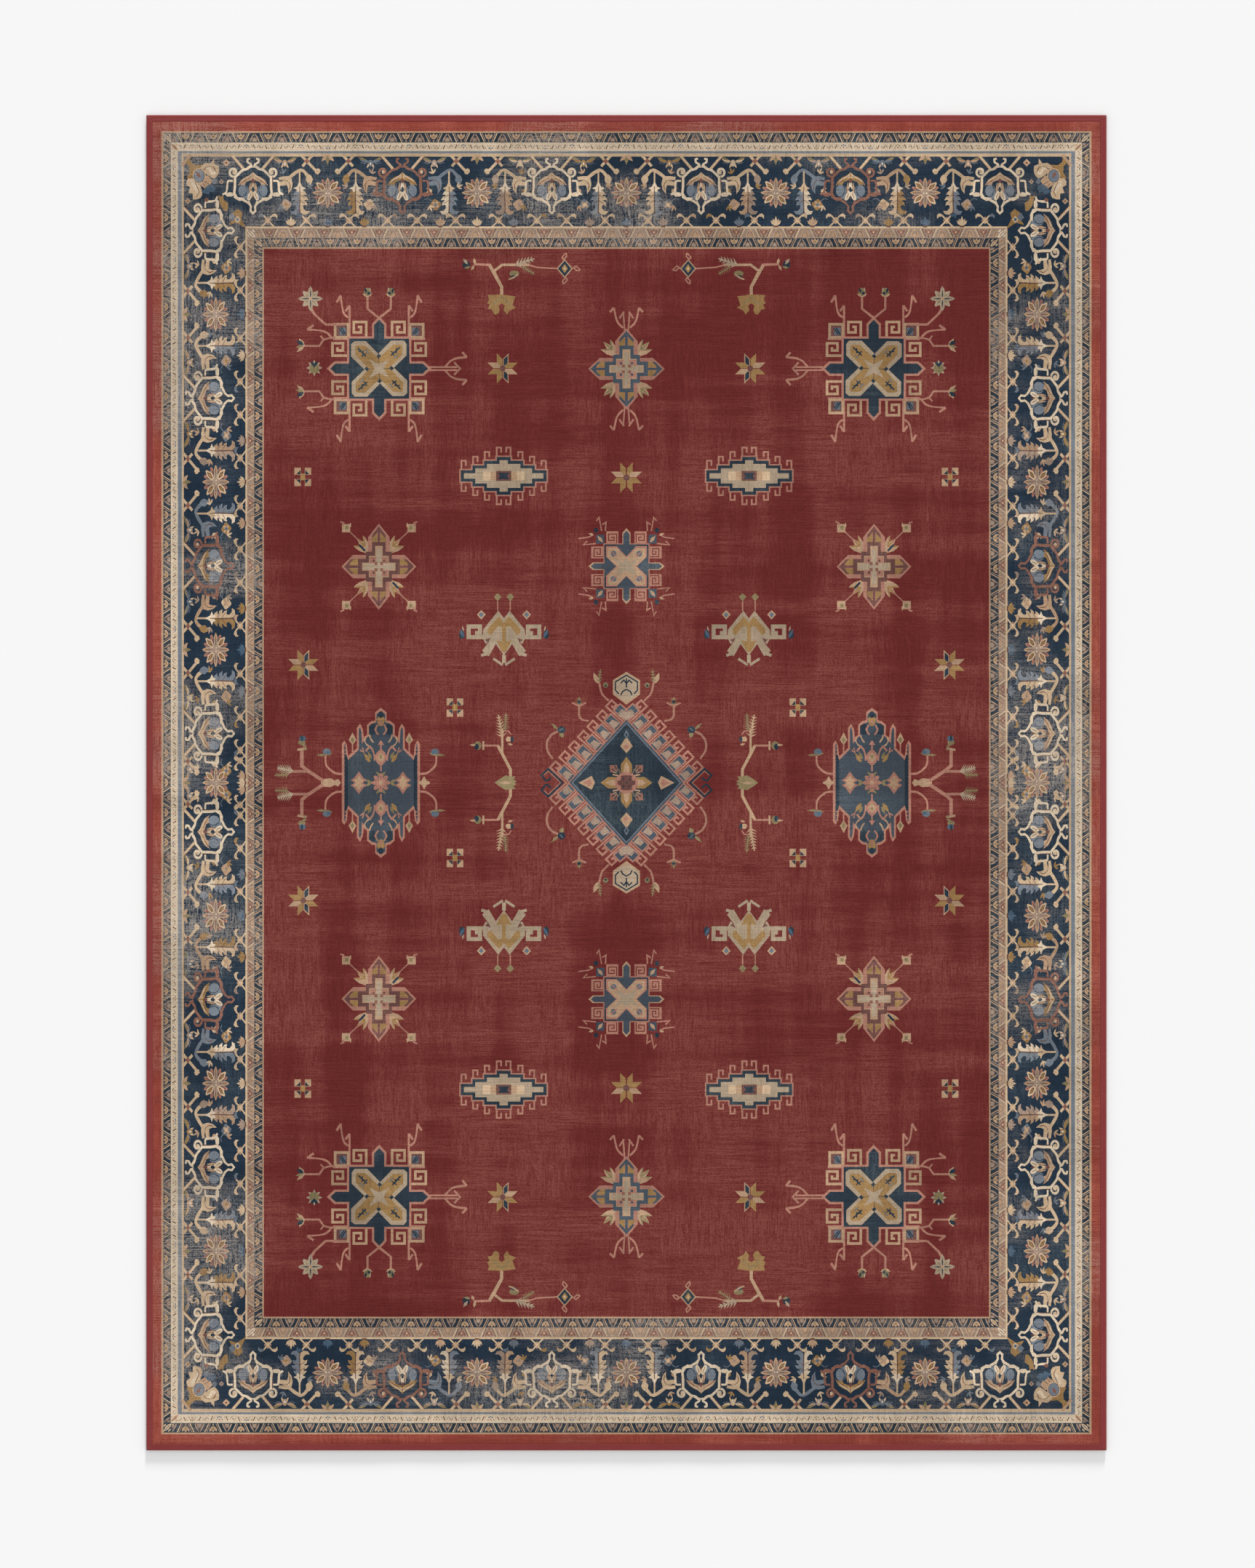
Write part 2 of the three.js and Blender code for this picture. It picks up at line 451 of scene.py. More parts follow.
def house_cross(pen: Drawing, step: Ink, leaf: Ink, prongs: bool) -> None:
    """A cross of four gabled lobes round a stepped centre, with leaves on the diagonals.

    Args:
        pen: where to draw.
        step: the colour of the stepped cross and of the lobes' inner line.
        leaf: the colour of the tips of the diagonal leaves.
        prongs: whether a three-pronged stem stands on the top and the bottom lobe.
    """
    for quarter in pen.quarters():
        for tip, width in (((36, 43), 8), ((26, 47), 7), ((41, 31), 7)):
            quarter.leaf(TAN, (14, 20), tip, width, 0.6).leaf(leaf, (22, 30), tip, width * 0.45, 0.6)
    lobes = ((0, 61.5, 17.5, 44, 12), (90, 57.5, 17.5, 42, 12), (180, 61.5, 17.5, 44, 12),
             (270, 57.5, 17.5, 42, 12))
    for turn, apex, half, eave, foot in lobes:
        lobe = pen.at(0, 0, turn)
        (lobe.fill(ROSE, [(-half, foot), (-half, eave), (0, apex + 3), (half, eave), (half, foot)])
         .fill(step, [(0, apex - 1), (-11, eave + 3), (-11, eave - 2), (0, apex - 8), (11, eave - 2),
              (11, eave + 3)])
         .box(step, 0, eave - 2, 1.8, 14))
        for pane in lobe.halves():
            pane.fill(GOLD, [(2.4, eave - 8), (2.4, eave + 4), (5, eave + 5), (12, eave - 3),
                    (12, eave - 8)])
    (pen.fill(step, steps_outline([(34, 8.5), (34, 11.5), (21, 11.5), (21, 22.5), (11, 22.5), (11, 37)]))
     .fill(TAN, steps_outline([(27, 6), (16, 6), (16, 16), (6, 16), (6, 31)]))
     .fill(ROSE, steps_outline([(15, 6), (15, 14.5), (6.5, 14.5)]))
     .fill(IVORY, steps_outline([(25, 3.5), (13, 5.2), (5.5, 5.2), (4.5, 11), (3.2, 26)])))
    for quarter in pen.quarters():
        quarter.box(RUST, 4.6, 4.6, 2.4, 2.4)
    for quarter in pen.quarters():
        quarter.oval(step, 8.5, 9, 2.1, 2.1, 8)
    if prongs:
        for stem in pen.quarters():
            stem.line(ROSE, 2.6, [(2.5, 60), (4.8, 90)]).line(ROSE, 2.8, [(3.5, 91), (11, 80)])
            barbed(stem, ROSE, 3.0, curve([(5, 65), (13, 73), (17, 84), (19.5, 97)]), (26, 90))


def corner_buds(pen: Drawing) -> None:
    """Four square buds on thin stems beside the brown cross.

    Args:
        pen: where to draw.
    """
    for quarter in pen.quarters():
        (quarter.line(ROSE, 1.8, [(28, 38), (49, 58)]).box(TAN, 52, 61, 6.5, 6.5).box(OLIVE, 51, 62, 2.6, 3)
         .line(ROSE, 2.4, [(56, 64), (56, 69.5), (61, 71)]).leaf(TAN, (45, 62), (45, 70), 3))
    for half in (pen.at(0, 0), pen.at(0, 0, 180)):
        half.line(DEEP, 3.4, [(-31, 34.5), (-22, 25)])


def stepped_cartouche(pen: Drawing) -> None:
    """The long ivory cartouche with stepped sides and a fringe of hooks.

    Args:
        pen: where to draw.
    """
    outline = [(68, 9), (49.5, 9), (49.5, 16.5), (31, 16.5), (31, 24), (11, 24), (11, 30)]
    for quarter in pen.quarters():
        for x, y, reach in ((11, 30, 15), (30, 24, 14), (48.5, 16.5, 14), (67, 9, 15)):
            quarter.line(ROSE, 2.7, [(x, y - 3), (x, y + reach), (x - 7, y + reach), (x - 7, y + reach - 8)])
    (pen.fill(ROSE, steps_outline([(x + 2.4, y + 2.2) for x, y in outline]))
     .fill(NAVY, steps_outline(outline))
     .fill(IVORY, steps_outline([(63, 4.2), (45, 4.2), (45, 12), (26.5, 12), (26.5, 19), (6.5, 19),
          (6.5, 25)])))
    for half in pen.halves():
        half.box(TAN, 16, 0, 5, 7).box(SAND, 27, 0, 6, 7)
    (pen.fill(BROWN, steps_outline([(12, 8), (4, 8), (4, 8.4)])).box(PLUM, 0, 0, 10.5, 7)
     .fill(NAVY, [(-9, 5), (-5.5, 0), (-9, -5), (9, -5), (5.5, 0), (9, 5)]))


def small_star(pen: Drawing, upper: Ink, lower: Ink) -> None:
    """A star of eight forked petals in three colours.

    Args:
        pen: where to draw.
        upper: the colour of the upper right petal.
        lower: the colour of the lower right petal.
    """
    petals = ((upper, GOLD), (TAN, GOLD), (GOLD, lower), (TAN, GOLD))
    for turn, tones in enumerate(petals):
        for half, ink in zip(pen.at(0, 0, -90 * turn).halves(), tones):
            half.fill(TAN if ink is NAVY else ink, [(0.5, 4), (0.5, 15), (9.4, 24), (9.2, 8), (4, 3.6)])
            if ink is NAVY:
                half.fill(ink, [(1.6, 5), (1.6, 14.5), (8, 20.5), (7.8, 8.6), (3.8, 5)])
    pen.fill(PLUM, steps_outline([(4.6, 2), (2, 4.6)]))


def four_squares(pen: Drawing) -> None:
    """Four little squares with dark inner corners round a gold dot.

    Args:
        pen: where to draw.
    """
    for quarter in pen.quarters():
        quarter.box(TAN, 8.2, 9, 5, 5.6).fill(NAVY, [(3.8, 4), (10.5, 4), (3.8, 11)])
    pen.box(GOLD, 0, 0, 3.8, 5.2)


def blue_square(pen: Drawing) -> None:
    """The smaller faded medallion: a blue-framed square with a pale saltire and a key fringe.

    Args:
        pen: where to draw.
    """
    for side in pen.turns():
        side.fill(TAN, [(-6, 34), (-6, 53), (0, 60), (6, 53), (6, 34)])
        for half in side.halves():
            (half.box(ROSE, 22, 46, 9.5, 9.5)
             .line(FIELD, 1.5, [(15, 37), (15, 51), (28, 51), (28, 41), (19, 41), (19, 46), (24, 46)]))
    for quarter in pen.quarters():
        (quarter.box(DUSK, 41, 43, 6.5, 7).leaf(TAN, (37.5, 38.5), (45.5, 48.5), 6)
         .oval(NAVY, 48, 57, 3.6, 4.2, 8).line(ROSE, 2.2, [(48, 36), (68, 34), (62, 40)])
         .line(ROSE, 2.0, [(52, 50), (60, 46), (76, 44)]).line(ROSE, 2.2, [(33, 56), (32, 70), (38, 66)])
         .line(ROSE, 2.0, [(39, 56), (43, 78), (47, 72)]).leaf(TAN, (52, 50), (60, 52), 4))
    pen.box(ROSE, 0, 0, 36.5, 36.5).box(NAVY, 0, 0, 34.5, 34.5).box(ROSE, 0, 0, 32, 32)
    for side in pen.turns():
        (side.fill(DUSK, [(-4.6, 32), (-4.6, 51), (0, 56), (4.6, 51), (4.6, 32)])
         .fill(DUSK, [(0, 16), (-17, 34), (17, 34)])
         .fill(TAN, [(0, 14), (-15, 29), (-27, 29), (-30, 26), (-30, 14), (-15, 0), (0, 0)])
         .oval(SLATE, -20, 20, 4.6, 5, 8).line(ROSE, 1.8, [(-25, 25), (-15, 15)]))
    pen.fill(IVORY, [(9, 0), (19, 14), (6, 6), (0, 12), (-6, 6), (-19, 14), (-9, 0), (-16, -15), (0, -8),
            (16, -15)])


def crab(pen: Drawing) -> None:
    """The ivory and gold figure with two peaks, side keys and splayed legs.

    Args:
        pen: where to draw.
    """
    for half in pen.halves():
        (half.line(IVORY, 6.4, [(30, -16), (56, -16), (56, 1), (38, 1), (38, -9.5), (46, -9.5)])
         .fill(IVORY, [(0, 14), (9, 26), (33, -4), (34, -17), (29, -27), (25, -24), (15, -18), (33, -42),
              (24, -46), (13, -27), (0, -45)])
         .fill(GOLD, [(0, 7), (8, 17), (26, -3), (26, -9), (21, -13), (9, 2), (3, 0), (3, -23), (12, -21),
              (4, -38), (0, -40)])
         .line(IVORY, 4.4, [(17, -18), (33, -39)]).line(IVORY, 4.6, [(26, -42), (36, -45)])
         .fill(PLUM, [(21, -17), (30, -20), (25, -25)]).line(IVORY, 4, [(1, -57), (1, -44)])
         .line(IVORY, 4, [(2, -60), (17, -50)]).fill(OLIVE, [(10, 41), (16, 48), (10, 54), (4, 48)])
         .line(ROSE, 2, [(10, 26), (10, 41)]).fill(TAN, [(36, 12), (43, 20), (36, 27), (29, 20)])
         .fill(SLATE, [(36, 15), (40, 20), (36, 24), (32, 20)]).oval(NAVY, 67, -12, 4.6, 7, 8)
         .leaf(TEAL, (63, -17), (70, -3), 5).leaf(IVORY, (64, -6), (66, 2), 3))


def blue_shield(pen: Drawing) -> None:
    """The slate-blue medallion with spires, saw-toothed sides, flowers and side branches.

    Args:
        pen: where to draw.
    """
    outer = [(62, 0), (62, 62), (58, 67), (54, 60), (52, 42), (38, 55), (38, 87), (33, 94), (29, 86),
             (27, 72), (22, 76), (22, 92), (15, 98), (9, 99), (9, 112), (0, 119)]
    body = [(58, 0), (58, 60), (56, 62), (55, 46), (52, 36), (35, 53), (35, 85), (33, 88), (31, 82),
            (30, 62), (25, 70), (19, 74), (19, 90), (14, 94), (7, 96), (7, 109), (0, 114)]
    for quarter in pen.quarters():
        quarter.fill(ROSE, outer + [(0, 0)])
    for quarter in pen.quarters():
        quarter.fill(DUSK, body + [(0, 0)]).fill(NAVY, [(52, 0), (58, 0), (58, 60), (55, 46), (52, 36)])
        for y in np.arange(3, 36, 6.4):
            quarter.fill(ROSE, [(62, y - 3), (57, y), (62, y + 3)])
        for y in np.arange(46, 60, 6):
            quarter.fill(ROSE, [(55, y - 2), (57.5, y), (55, y + 2)])
    for end in pen.ends():
        (end.leaf(GOLD, (0, 90), (0, 106), 13, 0.7, 0.6).leaf(ROSE, (0, 91), (0, 101), 6)
         .leaf(NAVY, (0, 103), (0, 113), 10, 0.3, 0.5))
        for half in end.halves():
            (half.oval(NAVY, 13, 85, 6.5, 9, 12).line(ROSE, 2.6, curve([(5, 92), (9, 84), (4, 76)]))
             .line(TAN, 2.4, curve([(16, 58), (22, 60), (26, 66), (24, 72)]))
             .line(TAN, 2.2, curve([(12, 64), (16, 69), (18, 76)]))
             .line(ROSE, 3.0, curve([(24, 50), (18, 57), (12, 50), (10, 40), (10, 35)]))
             .leaf(GOLD, (17, 33), (27, 47), 7).leaf(OLIVE, (15, 38), (21, 50), 5)
             .line(ROSE, 2.2, [(29, 56), (27, 48), (33, 52)]))
        (end.line(ROSE, 2.6, [(0, 18), (0, 66)]).fill(ROSE, [(0, 68), (-5, 60), (5, 60)])
         .leaf(ROSE, (0, 28), (0, 54), 19, 0.55).leaf(TAN, (0, 33), (0, 48), 11, 0.5)
         .oval(OLIVE, 0, 41, 2.4, 3.4, 8).leaf(OLIVE, (0, 10), (-8, 18), 5).leaf(OLIVE, (0, 10), (8, 18), 5))
    for petal in pen.turns(8):
        petal.leaf(ROSE, (2, 0), (15, 0), 7, 0.7, 0.45).leaf(NAVY, (4, 0), (11, 0), 1.6)
    pen.oval(TAN, 0, 0, 3.6)
    for half in pen.halves():
        half.leaf(OLIVE, (15, 0), (24, 5), 5).leaf(OLIVE, (15, 0), (24, -5), 5)
        flower = half.at(35, 0)
        (flower.fill(ROSE, steps_outline([(6, 0), (13, 4), (7, 8), (2, 16), (0, 18)]))
         .fill(TAN, steps_outline([(4, 0), (8, 4), (3, 7), (1, 11)])))
        half.line(ROSE, 2.6, [(62, 13), (60, 13)])
    for quarter in pen.quarters():
        (quarter.line(ROSE, 2.2, [(45, 47), (45, 62)]).fill(TAN, [(45, 60), (51, 68), (45, 80), (39, 68)])
         .fill(OLIVE, [(45, 63), (48, 68), (45, 73), (42, 68)])
         .line(ROSE, 3.2, curve([(60, 14), (72, 15), (84, 24), (88, 33), (88, 43)]))
         .oval(SLATE, 86, 49, 6.5, 5.5, 10).leaf(OLIVE, (88, 44), (103, 44), 4)
         .leaf(OLIVE, (88, 44), (76, 47), 4).oval(TEAL, 83, 48, 3, 3, 8))


def shield_branches(pen: Drawing) -> None:
    """The forked branch with plumes on the outer side of the slate-blue medallion, towards -X.

    Args:
        pen: where to draw.
    """
    for half in pen.ends():
        (half.fill(TAN, [(-62, 0), (-66, 6), (-72, 3.5), (-78, 7), (-92, 6), (-94, 0)])
         .line(ROSE, 5.4, [(-90, 3), (-116, 20), (-124, 27), (-124, 52)])
         .line(ROSE, 4.2, [(-112, 18), (-146, 18)]).line(TAN, 3.4, [(-131, 52), (-117, 55)])
         .leaf(OLIVE, (-122, 54), (-115, 53), 4).leaf(OLIVE, (-124, 60), (-116, 58), 4)
         .oval(OLIVE, -124, 64, 6, 4.5, 8).oval(TEAL, -123, 70, 5.5, 4.5, 8)
         .leaf(NAVY, (-124, 66), (-124, 77), 4).comb(IVORY, (-138, 18), (-163, 24), 20, 6, 0.9, 0.9)
         .comb(OLIVE, (-146, 13), (-167, 12), 18, 7, 0.4, 0.5))
    star = pen.at(70, 1)
    star.fill(TAN, steps_outline([(10, 0), (4, 2.5), (0.6, 9)]))


def slim_branch(pen: Drawing) -> None:
    """The upright forked branch with plumes beside the centre medallion.

    Args:
        pen: where to draw.
    """
    for half in pen.ends():
        (half.line(TAN, 4.6, [(7, 6), (7, 21), (-8, 50), (-13, 59)]).line(TAN, 3.6, [(-6, 46), (-6, 84)])
         .line(ROSE, 3.2, [(-12, 59), (-38, 59)]).comb(TAN, (-6, 72), (-12, 108), 18, 7, 0.6, 0.8)
         .comb(OLIVE, (-2, 84), (0, 110), 18, 7, 0.5, 0.5).line(TAN, 3, [(-36, 52), (-36, 66)])
         .oval(OLIVE, -45, 59, 6, 7, 10).oval(NAVY, -47, 57, 4, 5, 8).leaf(TAN, (-48, 60), (-58, 60), 4)
         .leaf(TAN, (0, 67), (9, 72), 9, 0.5).oval(NAVY, 9.6, 69, 2.6, 5, 8).leaf(TAN, (3, 62), (11, 60), 4)
         .line(ROSE, 1.8, curve([(-4, 82), (4, 82), (8, 76)])))
    (pen.fill(OLIVE, [(-18, 0), (-10, 6), (0, 12), (6, 10), (15, 10), (12, 5), (17, 2), (13, 0), (17, -2),
          (12, -5), (15, -10), (6, -10), (0, -12), (-10, -6)])
     .leaf(TAN, (-10, 0), (10, 0), 5))


def sprig(pen: Drawing) -> None:
    """The long twig with a gold leaf, a plume and a dark diamond, lying under the top border.

    Args:
        pen: where to draw.
    """
    (pen.line(TAN, 5, [(-32, -26), (-32, -2), (-46, 24), (-52, 34)])
     .line(TAN, 4, [(-43, 24), (-31, 33), (12, 33)]).line(ROSE, 3.8, [(-50, 33), (-76, 34)])
     .line(ROSE, 2.4, [(10, 33), (24, 29), (56, 27)]))
    gold = pen.at(-32, -24)
    (gold.fill(GOLD, [(0, 10), (-22, 9), (-20, 2), (-23, -4), (-19, -6), (-22, -13), (-16, -14),
          (-11, -22), (-6, -21), (-3, -15), (-5, -8), (0, -4), (5, -8), (3, -15), (9, -22), (12, -16),
          (23, -11), (17, -7), (20, 0), (22, 7)])
     .line(OLIVE, 2, [(0, 6), (-13, -6)]).line(OLIVE, 2, [(0, 6), (13, -6)]))
    (pen.comb(IVORY, (-10, 33), (20, 43), 18, 5, 0.9, 0.9).comb(OLIVE, (2, 30), (20, 18), 16, 6, 0.5, 0.5)
     .leaf(TAN, (-74, 34), (-76, 44), 5).leaf(TAN, (-76, 32), (-80, 24), 5).oval(NAVY, -88, 33, 6, 7, 10)
     .leaf(IVORY, (-86, 34), (-93, 43), 5).leaf(OLIVE, (-82, 30), (-92, 28), 4)
     .oval(OLIVE, -12, 19, 8, 5, 10).oval(NAVY, -13, 14, 5, 3, 8)
     .line(TAN, 2.6, [(-21, 10), (-14, 12), (-6, 18)]))
    gem = pen.at(68, 27)
    for ink, x, y in ((TAN, 13, 15), (NAVY, 10.5, 12.5), (GOLD, 5, 7), (SAND, 2, 3)):
        gem.fill(ink, [(-x, 0), (0, y), (x, 0), (0, -y)])
    for turn in (0, 90, -90):
        tip = gem.at(0, 0, turn)
        tip.line(ROSE, 2.2, curve([(13, 0), (18, 4), (24, -2), (19, -3), (15, 1)], 3))


def centre_medallion(pen: Drawing) -> None:
    """The centre: a navy diamond in a double band of latch hooks, with hexagons above and below.

    Args:
        pen: where to draw.
    """
    along = np.array([-0.676, -0.737])
    out = np.array([-0.737, 0.676])

    def tooth(number: int, *places: Point) -> list[np.ndarray]:
        """Places of one tooth, given along the diamond's side and outward from the tooth's centre."""
        base = np.array([-7.5, 113.0]) + number * np.array([-14.8, -16.2])
        return [base + a * along + b * out for a, b in places]

    for quarter in pen.quarters():
        for i in range(7):
            quarter.line(ROSE, 3.0, tooth(i, (10.8, -13), (10.8, 24), (-2.5, 24), (-2.5, 13.5),
                                          (4.5, 13.5), (4.5, 18)))
        for i in range(7):
            (quarter.fill(ROSE, tooth(i, (-8.4, -13), (-8.4, 11.5), (8.4, 11.5), (8.4, -13)))
             .fill(DUSK, tooth(i, (-6.4, -13), (-6.4, 9.4), (6.4, 9.4), (6.4, -13)))
             .fill(TAUPE, tooth(i, (-6.4, -10), (-2.6, 2.5), (5.2, 2.5), (6.4, -10))))
    for ink, x, y in ((ROSE, 93, 103), (DUSK, 90.4, 100), (SLATE, 86.6, 96), (NAVY, 84.4, 93.6)):
        pen.fill(ink, [(0, y), (-x, 0), (0, -y), (x, 0)])
    for half in pen.ends():
        hexagon = half.at(0, 150)
        (hexagon.fill(TAN, [(0, 26), (21.5, 13), (21.5, -10), (0, -26), (-21.5, -10), (-21.5, 13)])
         .fill(IVORY, [(0, 23), (19, 11.5), (19, -9), (0, -22), (-19, -9), (-19, 11.5)])
         .line(NAVY, 2.2, [(-12, -9), (-17.5, -3), (-17.5, 10), (0, 20.5), (17.5, 10), (17.5, -3),
              (12, -9), (9, -4)])
         .line(NAVY, 2.2, [(-9, 8), (-4, 13), (0, 7), (4, 13), (9, 8)]).line(NAVY, 2.2, [(0, 16), (0, 1)])
         .line(NAVY, 2.2, [(-9, -11), (-6, -5), (0, -2), (6, -5), (9, -11), (0, -16)])
         .leaf(TAN, (0, -24), (0, -15), 4))
        (half.fill(TAUPE, [(-7, 113), (7, 113), (13, 106), (0, 100), (-13, 106)])
         .fill(TAN, [(0, 47), (10, 58), (0, 73), (-10, 58)])
         .fill(ROSE, [(0, 53), (5, 57), (0, 61), (-5, 57)])
         .line(SLATE, 2, [(0, 71), (-3, 76), (0, 82), (3, 76)], closed=True))
        for side in half.halves():
            (side.line(ROSE, 3.2, curve([(-28, 130), (-38, 140), (-42, 152), (-44, 164)]))
             .leaf(TAN, (-45, 158), (-52, 175), 8).comb(OLIVE, (-44, 160), (-41, 180), 12, 4, 0.6, 0.7)
             .oval(OLIVE, -33, 155, 4.4, 4.4, 8).oval(NAVY, -33, 154, 2, 2, 8)
             .line(ROSE, 3.2, curve([(-60, 98), (-70, 100), (-75, 107), (-75, 122)]))
             .line(ROSE, 2.8, curve([(-86, 127), (-75, 122), (-64, 127)]))
             .comb(OLIVE, (-75, 123), (-75, 136), 14, 3, 0.7, 0.7).oval(NAVY, -75, 128, 3, 3, 8)
             .line(ROSE, 3.4, curve([(-117, 38), (-125, 50), (-126, 64), (-119, 76), (-108, 82)]))
             .leaf(OLIVE, (-108, 84), (-120, 95), 5).leaf(OLIVE, (-105, 80), (-100, 71), 8)
             .oval(NAVY, -103, 84, 6.5, 6, 10).line(SLATE, 1.6, [(-106, 82), (-101, 87)]))
    for half in pen.halves():
        (half.fill(TAN, [(-50, 0), (-55, 11), (-72, 2), (-76, 0), (-72, -2), (-55, -11)])
         .fill(ROSE, [(-54, 0), (-58, 6), (-68, 0), (-58, -6)]))
        for side in half.ends():
            (side.line(NAVY, 3.0, [(-101, -0.5), (-124, 22), (-135, 12), (-128, 3), (-122, 5), (-120, 9)])
             .line(ROSE, 1.2, [(-104, -0.5), (-124, 18.5), (-131, 12)]))
    for arm in pen.turns():
        (arm.fill(GOLD, [(-9, 16), (-9, 29), (0, 41), (9, 29), (9, 16)])
         .fill(TAN, [(-12, 12), (-5, 16), (-4, 26), (0, 33), (4, 26), (5, 16), (12, 12)]))
    for quarter in pen.quarters():
        quarter.box(RUST, 20.5, 22, 6, 6).fill(TAN, [(8, 9), (22, 12), (20, 18), (12, 24)])
        for tip in ((14, 29), (19, 27), (23, 22), (26, 16)):
            quarter.line(NAVY, 1.6, [(11, 13), tip])
    (pen.fill(ROSE, steps_outline([(18, 5), (13, 12), (5, 17)]))
     .fill(PLUM, steps_outline([(14, 3), (9, 4), (9, 11), (3, 12)])))
    for x, y in ((-5, 6), (5, 6), (0, 0), (-5, -6), (5, -6)):
        pen.oval(NAVY, x, y, 1.7, 1.7, 8)


# Border units. Along the top border u runs along the border and v outward, about its middle line

def rosette(pen: Drawing) -> None:
    """The many-petalled flower of the main border.

    Args:
        pen: where to draw.
    """
    for petal in pen.turns(8, 22.5):
        petal.leaf(ROSE, (3, 0), (22.5, 0), 6.2, 0.75, 0.4).line(BROWN, 1.2, [(6, 0), (20, 0)])
    for petal in pen.turns(4):
        (petal.line(DEEP, 9.6, [(9, 0), (21, 0)]).leaf(TAUPE, (2, 0), (21.5, 0), 8.6, 0.72, 0.5)
         .leaf(TAN, (13, 0), (24, 0), 6, 0.5, 0.2).line(BROWN, 1.1, [(4, 0), (19, 0)]))
    for petal in pen.turns(4, 48):
        (petal.leaf(SAND, (5, 0), (24, 0), 10, 0.55, 0.25).leaf(BROWN, (8, 0), (21, 0), 5.6, 0.55)
         .leaf(GOLD, (10, 0), (19, 0), 3, 0.55))
    pen.oval(TAUPE, 0, 0, 6.4)
    for half in pen.halves():
        half.oval(CREAM, 2.3, -1, 1.4, 1.6, 8)


def palmette(pen: Drawing, strap: Ink, crown: Ink, petal: Ink, core: Ink) -> None:
    """A palmette in its strap-work cartouche, pointing inward, with the funnel of bars above it.

    Args:
        pen: where to draw.
        strap: the colour of the strap.
        crown: the colour of the palmette's drooping upper leaves.
        petal: the colour of its side lobes.
        core: the colour of its stem.
    """
    for half in pen.halves():
        (half.line(SAND, 4.0, [(33, 57), (15, 36)]).line(BROWN, 0.9, [(35.2, 56), (17.6, 35.6)])
         .line(strap, 3.2, curve([(1.5, 38), (3, 43), (8, 46), (9, 51), (5, 52)], 3))
         .line(strap, 3.8, curve([(3, 41), (9, 36), (16, 34), (21, 30), (28, 23)]))
         .line(strap, 3.4, spiral((30.5, 31), 8.4, -120, 430, 0.22, 16)).oval(SAND, 30.5, 31, 2.8, 2.8, 10)
         .line(strap, 3.6, [(28.5, 25), (28.5, 8), (30, -5)])
         .line(strap, 3.2, curve([(32, 17), (40, 16), (41, 6), (42, -1), (48, -5)]))
         .fill(strap, [(28, -3), (37, -1), (45, -4), (41, -8), (34, -8), (28, -5)])
         .fill(strap, [(30.5, 0), (30.5, -10), (22, -15), (13, -14), (14, -10), (24, -9), (27, -3)])
         .line(strap, 3.6, curve([(18, -12), (9, -17), (3.6, -23), (3.6, -29)]))
         .line(BROWN, 0.9, [(30.8, 24), (30.8, 8), (32, -4)]))
    (pen.fill(strap, [(-3.4, -27), (3.4, -27), (6, -31), (0, -37), (-6, -31)])
     .fill(DEEP, [(-1.7, -24), (1.7, -24), (2.4, -30), (0, -33), (-2.4, -30)]))
    for half in pen.halves():
        (half.oval(petal, 15, 1, 8.2, 10.5, 12).oval(petal, 9, -7, 6, 6, 10)
         .line(DEEP, 1.1, curve([(12, 11), (9, 3), (12, -6), (18, -9)]))
         .fill(crown, [(0, 31), (5, 26), (12, 23), (19, 18), (24, 9), (18, 11), (13, 10), (11, 15),
              (6, 17), (0, 19)])
         .fill(SAND, [(1, 29), (7, 24), (16, 19), (21, 12), (15, 15), (8, 20), (1, 22)])
         .line(BROWN, 1.0, curve([(1, 26), (8, 20), (14, 17), (21, 11)]))
         .leaf(CREAM, (1.5, 2), (7.5, -14), 7, 0.7, 0.5).leaf(TAN, (4, 14), (5.4, -3), 3.6, 0.5, 0.3)
         .line(BROWN, 0.9, [(3, -3), (6, -11)]))
    (pen.leaf(core, (0, 19), (0, -9), 5.6, 0.5, 0.6).leaf(PLUM, (0, 13), (0, 21), 5.4, 0.5, 0.2)
     .oval(DEEP, 0, 3, 2.5, 4.4, 10).leaf(BROWN, (0, -6), (0, -15), 2.4, 0.5))


def branch_leaf(pen: Drawing, blade: Ink, back: Ink, stem: Ink) -> None:
    """The scrolling branch with its curled acanthus leaf, from the palmette's shoulder to the rosette.

    Args:
        pen: where to draw; the leaf's vein is at u = 0 and the rosette lies towards +u.
        blade: the colour of the leaf's side towards the palmette.
        back: the colour of its side towards the rosette.
        stem: the colour of the branch.
    """
    (pen.line(stem, 5.0, curve([(-33, 20), (-25, 22), (-17, 22), (-8, 29), (2, 34), (9, 30), (13, 24)]))
     .fill(stem, [(-34, 14), (-24, 19), (-13, 21), (-11, 12), (-13, 3), (-18, -4), (-18, 4), (-20, 10),
          (-26, 9), (-31, 9)])
     .line(BROWN, 1.0, curve([(-30, 16), (-20, 17), (-15, 10), (-16, 2)]))
     .leaf(back, (14, 27), (17, 10), 11.5, 0.5, 0.1).line(SAND, 2.6, [(0, 32), (0, 12)]))
    lobes = [(0, 4), (4, 3), (8, 0), (11.5, -5), (7, -5), (6, -7), (11, -8.5), (14.5, -14), (9, -13.4),
             (7, -14.6), (11, -17), (12.5, -22.6), (8, -21), (5.4, -23), (6, -27), (10, -31), (16, -31),
             (13, -36), (6, -37), (1, -33)]
    pen.fill(back, lobes)
    pen.at(0, 0, sx=-0.9).fill(blade, lobes)
    (pen.fill(CREAM if blade is not CREAM else SAND, [(-10, 5), (-4, 8), (0, 17), (4, 8), (10, 5), (5, 3),
          (4, -2), (0, 1), (-4, -2), (-5, 3)])
     .line(BROWN, 1.2, curve([(0, 8), (0.6, -8), (0.6, -22), (-1, -36)])))
    for y in (-8, -17):
        for half in pen.halves():
            half.line(BROWN, 0.9, [(0.6, y + 3), (8, y - 2)])


